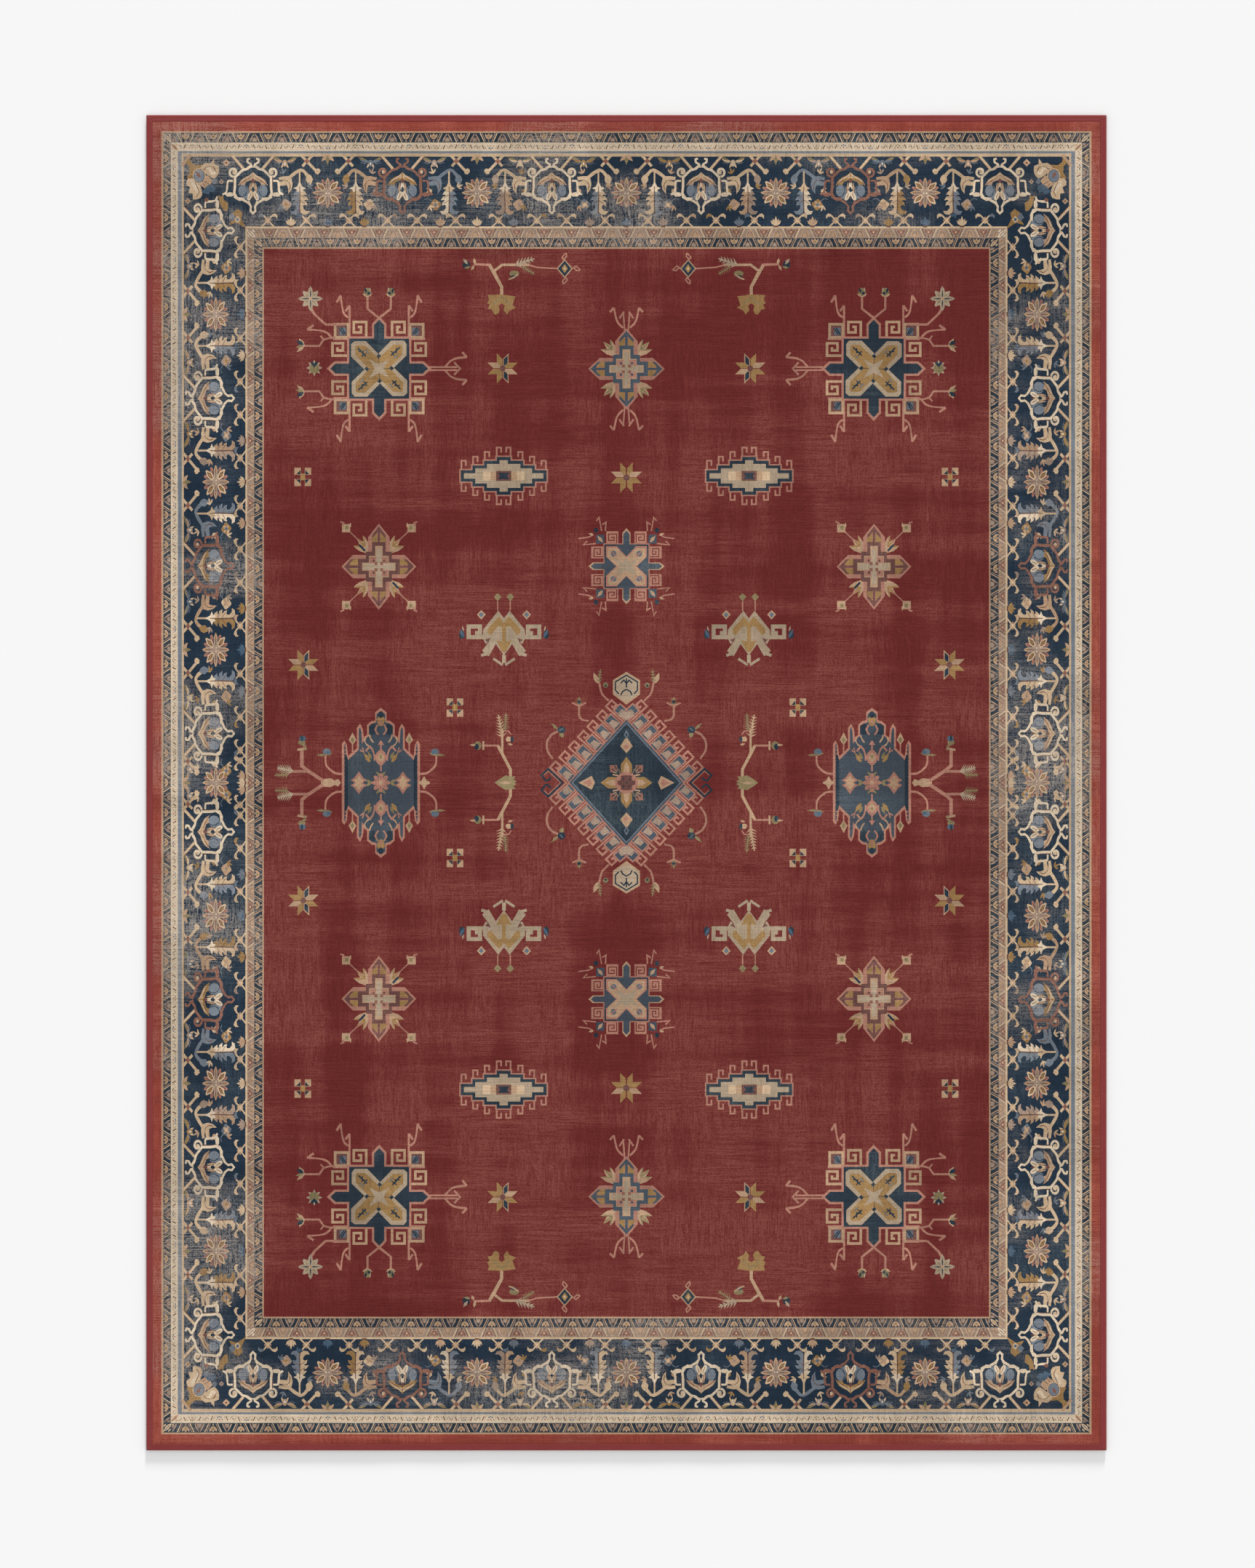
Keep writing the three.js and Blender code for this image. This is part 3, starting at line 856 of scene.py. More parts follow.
def lattice_cross(pen: Drawing, bud_ink: Ink, other: Ink) -> None:
    """A crossing of two bars on the inner edge, with a bud where each upper end curls over.

    Args:
        pen: where to draw; the crossing is at the origin and the edge 10 mm below it.
        bud_ink: the colour of the bud on the left.
        other: the colour of the bud on the right.
    """
    pen.fill(TAN, [(-6, 0), (0, 6), (6, 0), (0, -6)]).fill(BROWN, [(-6, -1), (0, 3), (6, -1), (0, 1)])
    for half, ink in zip(pen.halves(), (bud_ink, other)):
        (half.line(SAND, 2.4, [(-11, -11), (0, 0), (7, 8)])
         .fill(ink, curve([(6, 6), (7.5, 10), (12, 11.4), (15.5, 8), (15, 2.6), (12, 6), (9, 6.6)], 2)))


def fleur(pen: Drawing, ink: Ink, size: float = 1.0) -> None:
    """A small tulip that stands on the inner edge.

    Args:
        pen: where to draw.
        ink: the colour.
        size: its size.
    """
    flower = pen.at(0, 0, sx=size, sy=size)
    for half in flower.halves():
        half.leaf(ink, (1, 0), (8.5, 8), 4.6, 0.5).leaf(ink, (1, 0), (5, 11), 4.0, 0.5)
    flower.leaf(ink, (0, -2), (0, 15), 5.6, 0.5).fill(BROWN, [(-4, -3), (4, -3), (2, 0), (-2, 0)])


def field_flower(pen: Drawing, ink: Ink, eye: Ink, radius: float = 9) -> None:
    """A small four-lobed flower with a hooked stem that floats on the navy ground.

    Args:
        pen: where to draw.
        ink: the colour.
        eye: the colour of its middle.
        radius: how far its petals reach.
    """
    pen.line(SLATE, 1.3, curve([(-radius - 8, 8), (-radius - 2, 10), (-radius * 0.4, 4)]))
    for petal in pen.turns(4, 8):
        petal.leaf(ink, (0, 0), (radius, 0), radius * 1.15, 0.6, 0.25)
    for petal in pen.turns(4, 53):
        petal.leaf(TAN, (0, 0), (radius * 0.8, 0), radius * 0.5, 0.6)
    pen.oval(eye, 0, 0, radius * 0.34, radius * 0.34, 8)


def filler(pen: Drawing, ink: Ink) -> None:
    """A tiny sprig of three leaves that fills the navy ground between two motifs."""
    for x, y in ((0, 8.5), (6, 4.5), (-6, 3.5)):
        pen.leaf(ink, (0, -2), (x, y), 3.2, 0.6)


def outer_leaves(pen: Drawing, ink: Ink) -> None:
    """The leaf spray and the hanging flower between two bars on the outer edge.

    Args:
        pen: where to draw.
        ink: the colour.
    """
    for half in pen.halves():
        (half.leaf(ink, (4, 47), (22, 51), 6, 0.6).leaf(OLIVE, (8, 50), (25, 54), 4, 0.5)
         .leaf(SAND, (2, 46), (7, 37), 4.4, 0.5).line(SLATE, 1.3, curve([(3, 48), (12, 44), (20, 46)])))
    pen.oval(ink, 0, 45, 4.8, 5.6, 10).oval(PEARL, 0, 44, 2, 2.6, 8)


def outer_bars(pen: Drawing) -> None:
    """The two crossed bars on the outer edge above a rosette, each curling into a volute.

    Args:
        pen: where to draw.
    """
    for half in pen.halves():
        (half.line(SAND, 4.2, [(42, 57.5), (33, 48), (14, 28)])
         .line(SAND, 4.2, [(24, 57.5), (33, 48), (40, 40)])
         .fill(RUST, [(28, 48), (33, 52.5), (38, 48), (33, 44)])
         .line(SAND, 2.6, spiral((15, 32), 4.6, -60, 330, 0.3, 9)))
    pen.leaf(OLIVE, (0, 57), (0, 42), 7, 0.4)
    for half in pen.halves():
        half.leaf(TAN, (1, 57), (10, 48), 6, 0.5)


class BandTones(Enum):
    """The two colourings that take turns along the main border."""

    PALE = (CREAM, TAN, STEEL, SAND)
    WARM = (RUST, GOLD, STEEL, CREAM)


VEIN = 44.5             # how far before the rosette a branch leaf's vein lies


def border_unit(pen: Drawing, tones: BandTones, half_unit: float, seed: int, only: int = 0,
                leaves: bool = True) -> None:
    """One palmette with everything that goes with it, up to the rosettes on both sides.

    Args:
        pen: where to draw.
        tones: the colouring of the palmette.
        half_unit: the distance from the palmette to the next rosette.
        seed: which of the colourings the small flowers take.
        only: 1 or -1 where just the side towards +u or -u has branches, because the other is a corner.
        leaves: whether the branches with their leaves are there.
    """
    blades = (SAND, STEEL, TAN, CREAM)
    backs = (STEEL, GOLD, SAND, TAUPE)
    accents = (TAUPE, SLATE, TAN, GOLD, SAND)
    for side, half in enumerate(pen.halves()):
        turn = seed + side
        if only == 2 * side - 1:
            continue
        if leaves:
            branch_leaf(half.at(half_unit - VEIN, 0), blades[turn % 4], backs[(turn + 1) % 4],
                        blades[(turn + 2) % 4] if tones is BandTones.WARM else SAND)
        field_flower(half.at(half_unit - 66, -21), accents[turn % 5], accents[(turn + 3) % 5])
        outer_leaves(half.at(half_unit - 68, 0, sx=0.8), accents[(turn + 2) % 5])
        for x, y, lean in ((half_unit - 70, 30, 20), (half_unit - 30, 8, -70), (44, -24, 200),
                           (half_unit - 74, 2, 120)):
            filler(half.at(x, y, lean), accents[(turn + 1) % 5])
        lattice_cross(half.at(23.5, -46), SAND, accents[(turn + 1) % 5])
        fleur(half.at(half_unit / 2 + 1, -54), accents[(turn + 4) % 5])
    palmette(pen, *tones.value)


def rosette_unit(pen: Drawing, seed: int) -> None:
    """One rosette with the bars above it and the crossings below it.

    Args:
        pen: where to draw.
        seed: which of the colourings it takes.
    """
    accents = (TAN, SLATE, SAND, TEAL)
    outer_bars(pen)
    for side, half in enumerate(pen.halves()):
        lattice_cross(half.at(34, -46), accents[(seed + side) % 4], SAND)
    fleur(pen.at(0, -54), SAND if seed % 2 else TEAL)
    rosette(pen.at(0, -2))


def corner_palmette(pen: Drawing) -> None:
    """The flower that grows out of the main border's corner, drawn on the rug's own axes.

    Args:
        pen: where to draw.
    """
    (pen.line(TAN, 4.4, [(-46, 34), (-31, 52)]).line(BROWN, 1.0, [(-43, 33), (-29, 49)])
     .fill(GOLD, [(-40, 39), (-33, 47), (-31, 40), (-24, 35), (-12, 36), (-7, 31), (-20, 27), (-28, 22),
          (-30, 12), (-38, 15), (-33, 24), (-34, 34)])
     .fill(SAND, curve([(-16, 32), (-8, 39), (0, 38), (6, 46), (6, 37), (13, 34), (13, 22), (6, 14),
          (-2, 18), (-10, 24)], 2))
     .fill(SAND, curve([(-26, 14), (-36, 14), (-38, 4), (-32, 0), (-35, -9), (-28, -10), (-28, -19),
          (-16, -17), (-13, -8), (-16, 2)], 2))
     .fill(CREAM, curve([(-12, 31), (-3, 28), (1, 20), (8, 21), (9, 27), (4, 24), (0, 32)], 2))
     .fill(CREAM, curve([(-30, 11), (-23, 7), (-18, -4), (-22, -9), (-26, -1), (-31, 4)], 2))
     .line(BROWN, 1.1, curve([(-12, 27), (-4, 33), (5, 32), (9, 24)]))
     .line(BROWN, 1.1, curve([(-25, 9), (-21, 1), (-18, -8), (-22, -15)]))
     .fill(TAN, [(-12, 17), (-4, 19), (3, 11), (0, 4), (-3, 3), (-6, -4), (-12, 1), (-18, 4)])
     .line(BROWN, 0.9, [(-10, 10), (-2, 5)]).line(BROWN, 0.9, [(-12, 6), (-7, 0)])
     .fill(TEAL, [(-15, -7), (-9, -2), (-4, 4), (3, 5), (9, -1), (5, -8), (-1, -7), (-3, -12), (-9, -9)])
     .fill(SLATE, [(3, 13), (7, 15), (11, 9), (7, 4), (2, 8)]).oval(SAND, -18, 18, 10.6, 12.4, 16)
     .oval(BROWN, -18, 18, 9.2, 11, 14).oval(STEEL, -18, 18, 8.4, 10.2, 14)
     .leaf(RUST, (-22, 24), (-16, 16), 5.5, 0.5, 0.3))
    for ink, x, y, size in ((TAN, 25, 39, 6), (TAUPE, 17.5, 9, 4.2), (TAN, -36, -22, 5),
                            (RUST, -6, -20, 4)):
        (pen.fill(ink, [(x - size, y), (x, y + size), (x + size, y), (x, y - size)])
         .oval(BROWN, x, y, size * 0.3, size * 0.3, 6))
    (pen.fill(GOLD, [(12, -12), (17, -15), (20, -12), (21, -20), (28, -25), (27, -38), (22, -37), (16, -29)])
     .fill(GOLD, [(29, -60), (35, -50), (36, -40), (44, -34), (51, -41), (49, -50), (57, -66), (50, -62),
          (42, -56)])
     .fill(SLATE, [(29, -48), (34, -40), (40, -46), (36, -54)])
     .fill(SAND, [(38, -52), (43, -45), (48, -51), (43, -57)]).oval(TEAL, 43, -51, 2.6, 2.6, 8))


@dataclass(frozen=True)
class TrefoilTones:
    """The colours of one trefoil guard.

    Attributes:
        bar: the slanting bars.
        twin: the thin line beside each bar.
        bloom: the upright blossoms.
        eye: their middles.
        fan: the hanging fans between two blossoms.
        rib: the fans' ribs.
    """

    bar: Ink
    twin: Ink
    bloom: Ink
    eye: Ink
    fan: Ink
    rib: Ink

    def unit(self, pen: Drawing, seed: int) -> None:
        """One repeat, 43 by 15: a blossom between two slanting bars and half a fan on both sides.

        Args:
            pen: where to draw.
            seed: which repeat it is; not used, as here all are alike.
        """
        for half in pen.halves():
            (half.line(self.bar, 1.5, [(13.2, 7), (6.8, -7)]).line(self.twin, 1.1, [(10.2, 7), (4.6, -5.6)])
             .leaf(self.fan, (20.6, 6.2), (14.4, -6.4), 3.4, 0.6, 0.5)
             .fill(self.fan, [(21.5, 1), (18.6, -3), (17.8, -6.6), (21.5, -6)])
             .line(self.rib, 0.8, [(19.8, 3), (16.4, -5)])
             .leaf(self.bloom, (1.6, -2.4), (5.4, 5.6), 4.0, 0.6, 0.4))
        (pen.leaf(self.bloom, (0, -2.6), (0, 6.6), 5.0, 0.6, 0.3).oval(self.eye, 0, 1.6, 1.5, 1.9, 6)
         .leaf(self.twin, (0, -6.8), (0, -3), 3.2, 0.4))


def dash_guard_unit(pen: Drawing, seed: int) -> None:
    """One repeat of the ivory guard, 43 by 13: two slanting dashes, a speckled sprig and two arcs.

    Args:
        pen: where to draw.
        seed: which of the colourings it takes.
    """
    cluster = (SLATE, OLIVE, TEAL)[seed % 3]
    pen = pen.at(0, 0, sy=-1) if seed % 2 else pen
    for half in pen.halves():
        (half.line(BROWN, 1.5, [(10.6, 3.6), (13.4, -2.8)]).line(TAN, 1.2, [(7.6, 3.4), (9.4, -1)])
         .oval(cluster, 2.6, 1.8, 1.3, 1.3, 6).oval(TAUPE, 4.6, -1.6, 1.2, 1.2, 6)
         .line(TAUPE, 1.3, [(16.6, -1.4), (18.4, 1.6), (21.5, 2.6)]))
    (pen.oval(ROSE, 0, -1.2, 1.5, 1.5, 6).oval(cluster, 0, 3.2, 1.1, 1.1, 6)
     .oval(BROWN, 21.5, -0.2, 1.2, 1.1, 6))


def guard_corner(pen: Drawing, size: float, light: Ink, dark: Ink) -> None:
    """The small diagonal leaf that fills a guard's corner square.

    Args:
        pen: where to draw.
        size: its size.
        light: the leaf's colour.
        dark: its vein's colour.
    """
    (pen.leaf(light, (-size * 0.42, -size * 0.42), (size * 0.42, size * 0.42), size * 0.42, 0.5)
     .line(dark, size * 0.07, [(-size * 0.25, -size * 0.25), (size * 0.25, size * 0.25)]))
    for half in (pen, pen.at(0, 0, 90, sy=-1)):
        half.leaf(light, (-size * 0.4, size * 0.1), (-size * 0.1, size * 0.42), size * 0.2)


# The whole print, laid out on one quarter

MAIN_BAND = 6           # the stripe that holds the main border
GUARD_PITCH = 43        # the length of a guard's repeat before it is fitted
FIRST_PALMETTE = 78     # from the rug's middle to the first palmette on the long sides
CORNER_FLOWER = (102, 115)      # how far in from the side and the end the corner flower lies


@dataclass(frozen=True)
class Stripe:
    """One band of the border, by its distances from the cover's outer edge in millimetres.

    Attributes:
        ink: its ground colour.
        side: where it starts on the long sides.
        end: where it starts on the short ends.
    """

    ink: Ink
    side: float
    end: float


@dataclass
class RugPattern:
    """The printed design on the quarter that lies towards -X and +Y.

    Attributes:
        half_width: half the cover's width in millimetres.
        half_length: half its length.
        unit: the distance from a palmette to the next rosette on the short ends.
        stretch: how much longer the design is drawn along the rug than across it.
    """

    half_width: float
    half_length: float
    unit: float = 118.5
    stretch: float = 1.123
    stripes: tuple[Stripe, ...] = (
        Stripe(EDGE_RED, 0, 0), Stripe(TAN, 24, 25.9), Stripe(NAVY, 27.4, 28.6),
        Stripe(CREAM, 39, 43.8), Stripe(STEEL, 50.3, 57.6), Stripe(SAND, 56.4, 61),
        Stripe(DEEP, 59.8, 66.2), Stripe(SAND, 157.5, 177), Stripe(TAUPE, 160.4, 180),
        Stripe(NAVY, 171.6, 195.6), Stripe(TAN, 184.4, 209.9), Stripe(FIELD, 186.6, 212.5))
    drawing: Drawing = field(default_factory=Drawing)

    def band_pens(self, index: int) -> tuple[Drawing, Drawing, float, float]:
        """Pens on the middle line of one stripe, along the end and along the side.

        Args:
            index: which stripe.

        Returns:
            The end's pen, the side's pen, and the distance from the rug's centre to the corner along
            each, in the pen's own units.
        """
        here, following = self.stripes[index], self.stripes[index + 1]
        middle_end = self.half_length - (here.end + following.end) / 2
        middle_side = self.half_width - (here.side + following.side) / 2
        across = (following.side - here.side) / (following.end - here.end)
        end = self.drawing.at(0, middle_end)
        side = self.drawing.placed([[0, -across, -middle_side], [self.stretch, 0, 0]])
        return end, side, middle_side, middle_end / self.stretch

    def draw(self) -> list[Shape]:
        """Draws the whole quarter, from the ground up, and returns its shapes in paint order."""
        for stripe in self.stripes:
            self.drawing.fill(stripe.ink, [
                (-self.half_width + stripe.side, 0), (0, 0), (0, self.half_length - stripe.end),
                (-self.half_width + stripe.side, self.half_length - stripe.end)])
        self.draw_guards()
        self.draw_main_border()
        self.draw_field()
        return self.drawing.shapes

    def draw_guards(self) -> None:
        """Draws the four narrow guards round the main border.

        Each is listed with its stripe, the side of its corner square, its repeat, and the two inks of
        the leaf in the corner.
        """
        guards: tuple[tuple[int, float, Callable[[Drawing, int], None], Ink, Ink], ...] = (
            (2, 15.2, TrefoilTones(SAND, TAUPE, TAN, OLIVE, TAUPE, PLUM).unit, SAND, SLATE),
            (3, 13.8, dash_guard_unit, TAN, BROWN),
            (8, 15.6, TrefoilTones(SAND, BROWN, RUST, SAND, TAN, BROWN).unit, CREAM, RUST),
            (9, 14.3, TrefoilTones(TAN, TAUPE, TAN, OLIVE, TAUPE, BROWN).unit, SAND, RUST))
        for index, width, unit, light, dark in guards:
            end, side, end_reach, side_reach = self.band_pens(index)
            for pen, reach in ((end, end_reach), (side, side_reach)):
                free = reach - width / 2
                count = int(free / GUARD_PITCH)
                fitted = free / (count + 0.5)
                for i in range(count + 1):
                    place = -i * fitted if pen is end else i * fitted
                    unit(pen.at(place, 0, sx=fitted / GUARD_PITCH), i)
            guard_corner(end.at(-end_reach, 0, 90), width, light, dark)

    def draw_main_border(self) -> None:
        """Draws the palmettes and rosettes of the main border, and the flower in its corner."""
        end, side, _, _ = self.band_pens(MAIN_BAND)
        for i, tones in ((5, BandTones.PALE), (3, BandTones.WARM), (1, BandTones.PALE)):
            border_unit(end.at(-i * self.unit, 0), tones, self.unit, i, only=i // 5)
        for i in (4, 2, 0):
            rosette_unit(end.at(-i * self.unit, 0), i // 2)
        first = FIRST_PALMETTE / self.stretch
        for i, tones in ((6, BandTones.PALE), (4, BandTones.PALE), (2, BandTones.WARM)):
            border_unit(side.at(first + i * self.unit, 0), tones, self.unit, i + 1, only=-(i // 6))
        border_unit(side.at(first, 0), BandTones.PALE, self.unit, 2, leaves=False)
        branch_leaf(side.at(first + self.unit - VEIN, 0), SAND, STEEL, SAND)
        for i in (5, 3, 1):
            rosette_unit(side.at(first + i * self.unit, 0), i // 2)
        rosette_unit(side.at(0, 0, sx=0.92), 1)
        corner_palmette(self.drawing.at(CORNER_FLOWER[0] - self.half_width,
                                        self.half_length - CORNER_FLOWER[1]))

    def draw_field(self) -> None:
        """Draws the medallions and small figures of the red field."""
        pen = self.drawing
        star_cross(pen.at(-392.3, 657.3))
        house_cross(pen.at(-0.3, 656.8), DUSK, OLIVE, True)
        house_cross(pen.at(-392.8, 343, sx=0.98, sy=1.06), PLUM, GOLD, False)
        corner_buds(pen.at(-392.8, 343))
        blue_square(pen.at(-0.4, 343.6))
        stepped_cartouche(pen.at(-194.8, 487))
        crab(pen.at(-194.3, 247))
        centre_medallion(pen.at(0, 0))
        blue_shield(pen.at(-389.6, 0))
        shield_branches(pen.at(-391, 0))
        slim_branch(pen.at(-191, 0))
        sprig(pen.at(-166, 789))
        small_star(pen.at(-196.4, 657.6), NAVY, NAVY)
        small_star(pen.at(-0.6, 484.4), NAVY, GOLD)
        small_star(pen.at(-512.6, 187), NAVY, NAVY)
        four_squares(pen.at(-513.5, 485.4))
        four_squares(pen.at(-272, 119.4))


# From shapes to one clean mesh

SNAP = 0.02             # points nearer to each other than this are one point, in millimetres
LEAST_BEND = 0.55       # a corner that stands out less than this from its neighbours' line may go
STRAIGHTEN_ROUNDS = 4


def winding(points: np.ndarray, outline: np.ndarray) -> np.ndarray:
    """How many times an outline winds round each point, by counting the edges that pass it.

    Args:
        points: the points, as an (n, 2) array.
        outline: the outline's corners.

    Returns:
        The winding number of each point.
    """
    start, end = outline[:, None], np.roll(outline, -1, axis=0)[:, None]
    x, y = points[None, :, 0], points[None, :, 1]
    left = (end[..., 0] - start[..., 0]) * (y - start[..., 1]) - (x - start[..., 0]) * (
        end[..., 1] - start[..., 1])
    up = (start[..., 1] <= y) & (end[..., 1] > y) & (left > 0)
    down = (start[..., 1] > y) & (end[..., 1] <= y) & (left < 0)
    return up.sum(axis=0) - down.sum(axis=0)


def topmost(shapes: Sequence[Shape], points: np.ndarray) -> np.ndarray:
    """Which shape lies uppermost at each point.

    Args:
        shapes: the shapes in paint order.
        points: the points, as an (n, 2) array.

    Returns:
        The index of each point's shape.
    """
    order = np.argsort(points[:, 0])
    ranked = points[order]
    found = np.zeros(len(points), int)
    for index, shape in enumerate(shapes):
        low, high = shape.outline.min(axis=0), shape.outline.max(axis=0)
        first, last = np.searchsorted(ranked[:, 0], [low[0], high[0]])
        near = np.arange(first, last)
        near = near[(ranked[near, 1] >= low[1]) & (ranked[near, 1] <= high[1])]
        if len(near):
            found[order[near[winding(ranked[near], shape.outline) != 0]]] = index
    return found


def triangulate(points: np.ndarray, edges: np.ndarray) -> tuple[np.ndarray, np.ndarray]:
    """Fills the plane with triangles whose sides follow the given edges.

    Args:
        points: the corners, as an (n, 2) array.
        edges: pairs of corners.

    Returns:
        The points and the triangles, crossings of edges included.
    """
    result = delaunay_2d_cdt([Vector(p) for p in points.tolist()], edges.tolist(), [], 0, SNAP, False)
    return np.array([tuple(p) for p in result[0]]), np.array(result[2], int)


def between(points: np.ndarray, low: np.ndarray, high: np.ndarray) -> np.ndarray:
    """Whether each point lies inside a box given by its lowest and highest corner."""
    return np.all((points > low) & (points < high), axis=1)


def triangle_sides(triangles: np.ndarray) -> tuple[np.ndarray, np.ndarray, np.ndarray]:
    """Each side of the triangles once, with the triangle on each side of it.

    Args:
        triangles: the triangles' corners.

    Returns:
        The sides as pairs of corners, and the triangles on their first and second side, where -1
        means none.
    """
    sides = np.vstack([triangles[:, [0, 1]], triangles[:, [1, 2]], triangles[:, [2, 0]]])
    owner = np.tile(np.arange(len(triangles)), 3)
    unique, index = np.unique(np.sort(sides, axis=1), axis=0, return_inverse=True)
    index = index.ravel()
    order = np.argsort(index, kind="stable")
    first = np.searchsorted(index[order], np.arange(len(unique)))
    last = np.append(first[1:], len(order)) - 1
    near = owner[order[first]]
    far = np.where(last > first, owner[order[last]], -1)
    return unique, near, far


def straighten(points: np.ndarray, sides: np.ndarray, fixed: np.ndarray) -> np.ndarray:
    """Drops corners that hardly bend the line through them, alternate ones first.

    Args:
        points: all points.
        sides: the lines' sides as pairs of points.
        fixed: which points have to stay.

    Returns:
        The sides that are left.
    """
    for _ in range(STRAIGHTEN_ROUNDS):
        degree = np.bincount(sides.ravel(), minlength=len(points))
        order = np.argsort(sides.ravel(), kind="stable")
        start = np.searchsorted(sides.ravel()[order], np.arange(len(points)))
        simple = np.flatnonzero((degree == 2) & ~fixed)
        one, two = order[start[simple]], order[start[simple] + 1]
        a = sides[one // 2, 1 - one % 2]
        b = sides[two // 2, 1 - two % 2]
        base = points[b] - points[a]
        arm = points[simple] - points[a]
        height = np.abs(base[:, 0] * arm[:, 1] - base[:, 1] * arm[:, 0])
        height /= np.maximum(np.hypot(*base.T), 1e-6)
        flat = np.zeros(len(points), bool)
        flat[simple[height < LEAST_BEND]] = True
        lowest = flat[simple] & (~flat[a] | (simple < a)) & (~flat[b] | (simple < b))
        if not lowest.any():
            break
        gone = np.zeros(len(sides), bool)
        gone[one[lowest] // 2] = True
        gone[two[lowest] // 2] = True
        joined = np.stack([a[lowest], b[lowest]], axis=1)
        sides = np.vstack([sides[~gone], joined[joined[:, 0] != joined[:, 1]]])
    return sides


@dataclass
class PrintedPlane:
    """The print as a flat mesh: points in millimetres, triangles, and the shape each belongs to."""

    points: np.ndarray
    triangles: np.ndarray
    shape: np.ndarray


def cut_quarter(shapes: Sequence[Shape], low: np.ndarray, high: np.ndarray,
                lattice: np.ndarray) -> PrintedPlane:
    """Cuts one quarter of the rug along the borders between its colours.

    Every outline is cut in first. Then only the sides between two different shapes that show are
    kept, and the plane is filled again from those.

    Args:
        shapes: the print's shapes.
        low: the quarter's lowest corner.
        high: its highest corner.
        lattice: further points that keep the mesh even.

    Returns:
        The quarter's mesh.
    """
    frame_corners = np.array([low, (high[0], low[1]), high, (low[0], high[1])], float)
    outlines = [frame_corners] + [s.outline for s in shapes]
    counts = np.array([len(o) for o in outlines])
    starts = np.concatenate([[0], np.cumsum(counts)[:-1]])
    index = np.arange(counts.sum())
    following = index + 1
    following[starts + counts - 1] = starts
    points, triangles = triangulate(np.vstack(outlines), np.stack([index, following], axis=1))
    triangles = triangles[between(points[triangles].mean(axis=1), low, high)]
    ink = topmost(shapes, points[triangles].mean(axis=1))
    tone = np.array([list(Ink).index(s.ink) for s in shapes])[ink]
    sides, near, far = triangle_sides(triangles)
    kept = (far < 0) | (tone[near] != tone[far])
    on_frame = np.any((np.abs(points - low) < SNAP) | (np.abs(points - high) < SNAP), axis=1)
    sides = straighten(points, sides[kept], on_frame)
    used, sides = np.unique(sides, return_inverse=True)
    sides = sides.reshape(-1, 2)
    points, triangles = triangulate(np.vstack([points[used], lattice]), sides)
    triangles = triangles[between(points[triangles].mean(axis=1), low, high)]
    points = np.where(np.abs(points - low) < SNAP, low, points)
    points = np.where(np.abs(points - high) < SNAP, high, points)
    return PrintedPlane(points, triangles, topmost(shapes, points[triangles].mean(axis=1)))


def mirror_whole(quarter: PrintedPlane) -> PrintedPlane:
    """Mirrors the quarter about both centre lines and joins the four.

    Triangles of no width are dropped: those with a corner twice, or with all corners on a centre line.

    Args:
        quarter: the quarter's mesh.

    Returns:
        The whole print's mesh.
    """
    points, triangles, shape = [], [], []
    for count, (sx, sy) in enumerate(((1, 1), (-1, 1), (1, -1), (-1, -1))):
        points.append(quarter.points * (sx, sy))
        turned = quarter.triangles if sx * sy > 0 else quarter.triangles[:, ::-1]
        triangles.append(turned + count * len(quarter.points))
        shape.append(quarter.shape)
    merged, index = np.unique(np.round(np.vstack(points), 3) + 0.0, axis=0, return_inverse=True)
    whole = index.ravel()[np.vstack(triangles)]
    proper = (whole[:, 0] != whole[:, 1]) & (whole[:, 1] != whole[:, 2]) & (whole[:, 2] != whole[:, 0])
    proper &= ~(merged[whole] == 0).all(axis=1).any(axis=1)
    used, index = np.unique(whole[proper], return_inverse=True)
    return PrintedPlane(merged[used], index.reshape(-1, 3), np.concatenate(shape)[proper])


# How the cover lies

def smooth(low: float, high: float, value: np.ndarray) -> np.ndarray:
    """An eased ramp from 0 at low to 1 at high."""
    t = np.clip((value - low) / (high - low), 0, 1)
    return t * t * (3 - 2 * t)


@dataclass(frozen=True)
class Lie:
    """How the cloth lies: long shallow waves over the pad, and an edge that drops beside it.

    Attributes:
        half_width: half the cover's width in millimetres.
        half_length: half its length.
        wave: how far the cloth rises and falls.
        drop: how far its edge sinks below the level part.
        reach: where the drop ends and begins, as distances in from the edge.
    """

    half_width: float
    half_length: float
    wave: float = 0.22
    drop: float = 1.5
    reach: tuple[float, float] = (1.0, 20.0)

    def inset(self, x: np.ndarray, y: np.ndarray) -> np.ndarray:
        """How far each place lies in from the cover's nearest edge."""
        return np.minimum(self.half_width - np.abs(x), self.half_length - np.abs(y))

    def rise(self, x: np.ndarray, y: np.ndarray) -> np.ndarray:
        """The height that the lie adds at each place, in millimetres.

        Three sine waves of 350 to 900 mm are added up, and two short ones that grow towards the edge.
        The drop is an eased ramp over the outermost strip.

        Args:
            x: places across the rug.
            y: places along it.

        Returns:
            The added heights.
        """
        long_waves = (np.sin(x / 97 + y / 143 + 0.6) + np.sin(y / 61 - x / 190 + 2.1)
                      + np.sin(x / 71 - y / 230 + 4.0)) / 3
        inset = self.inset(x, y)
        edge = 1 - smooth(0, 90, inset)
        ripple = (np.sin(x / 23 + 1.3) * np.sin(y / 29 + 0.4)) * 0.16 * edge
        return (self.wave * long_waves + ripple * 0.6
                - self.drop * (1 - smooth(*self.reach, inset)))


def stations(half: float, pitch: float, insets: Sequence[float]) -> np.ndarray:
    """Places along one direction: even ones with zero among them, and more near both edges.

    Args:
        half: half the extent.
        pitch: the wished distance between even places.
        insets: further places, as distances in from the edge.

    Returns:
        The places from -half to half, in order.
    """
    inner = half - max(insets, default=0)
    count = max(1, round(inner / pitch))
    positive = np.concatenate([np.linspace(0, inner, count + 1), half - np.asarray(insets, float), [half]])
    positive = np.unique(np.round(positive, 1))
    return np.concatenate([-positive[:0:-1], positive])


# Meshes

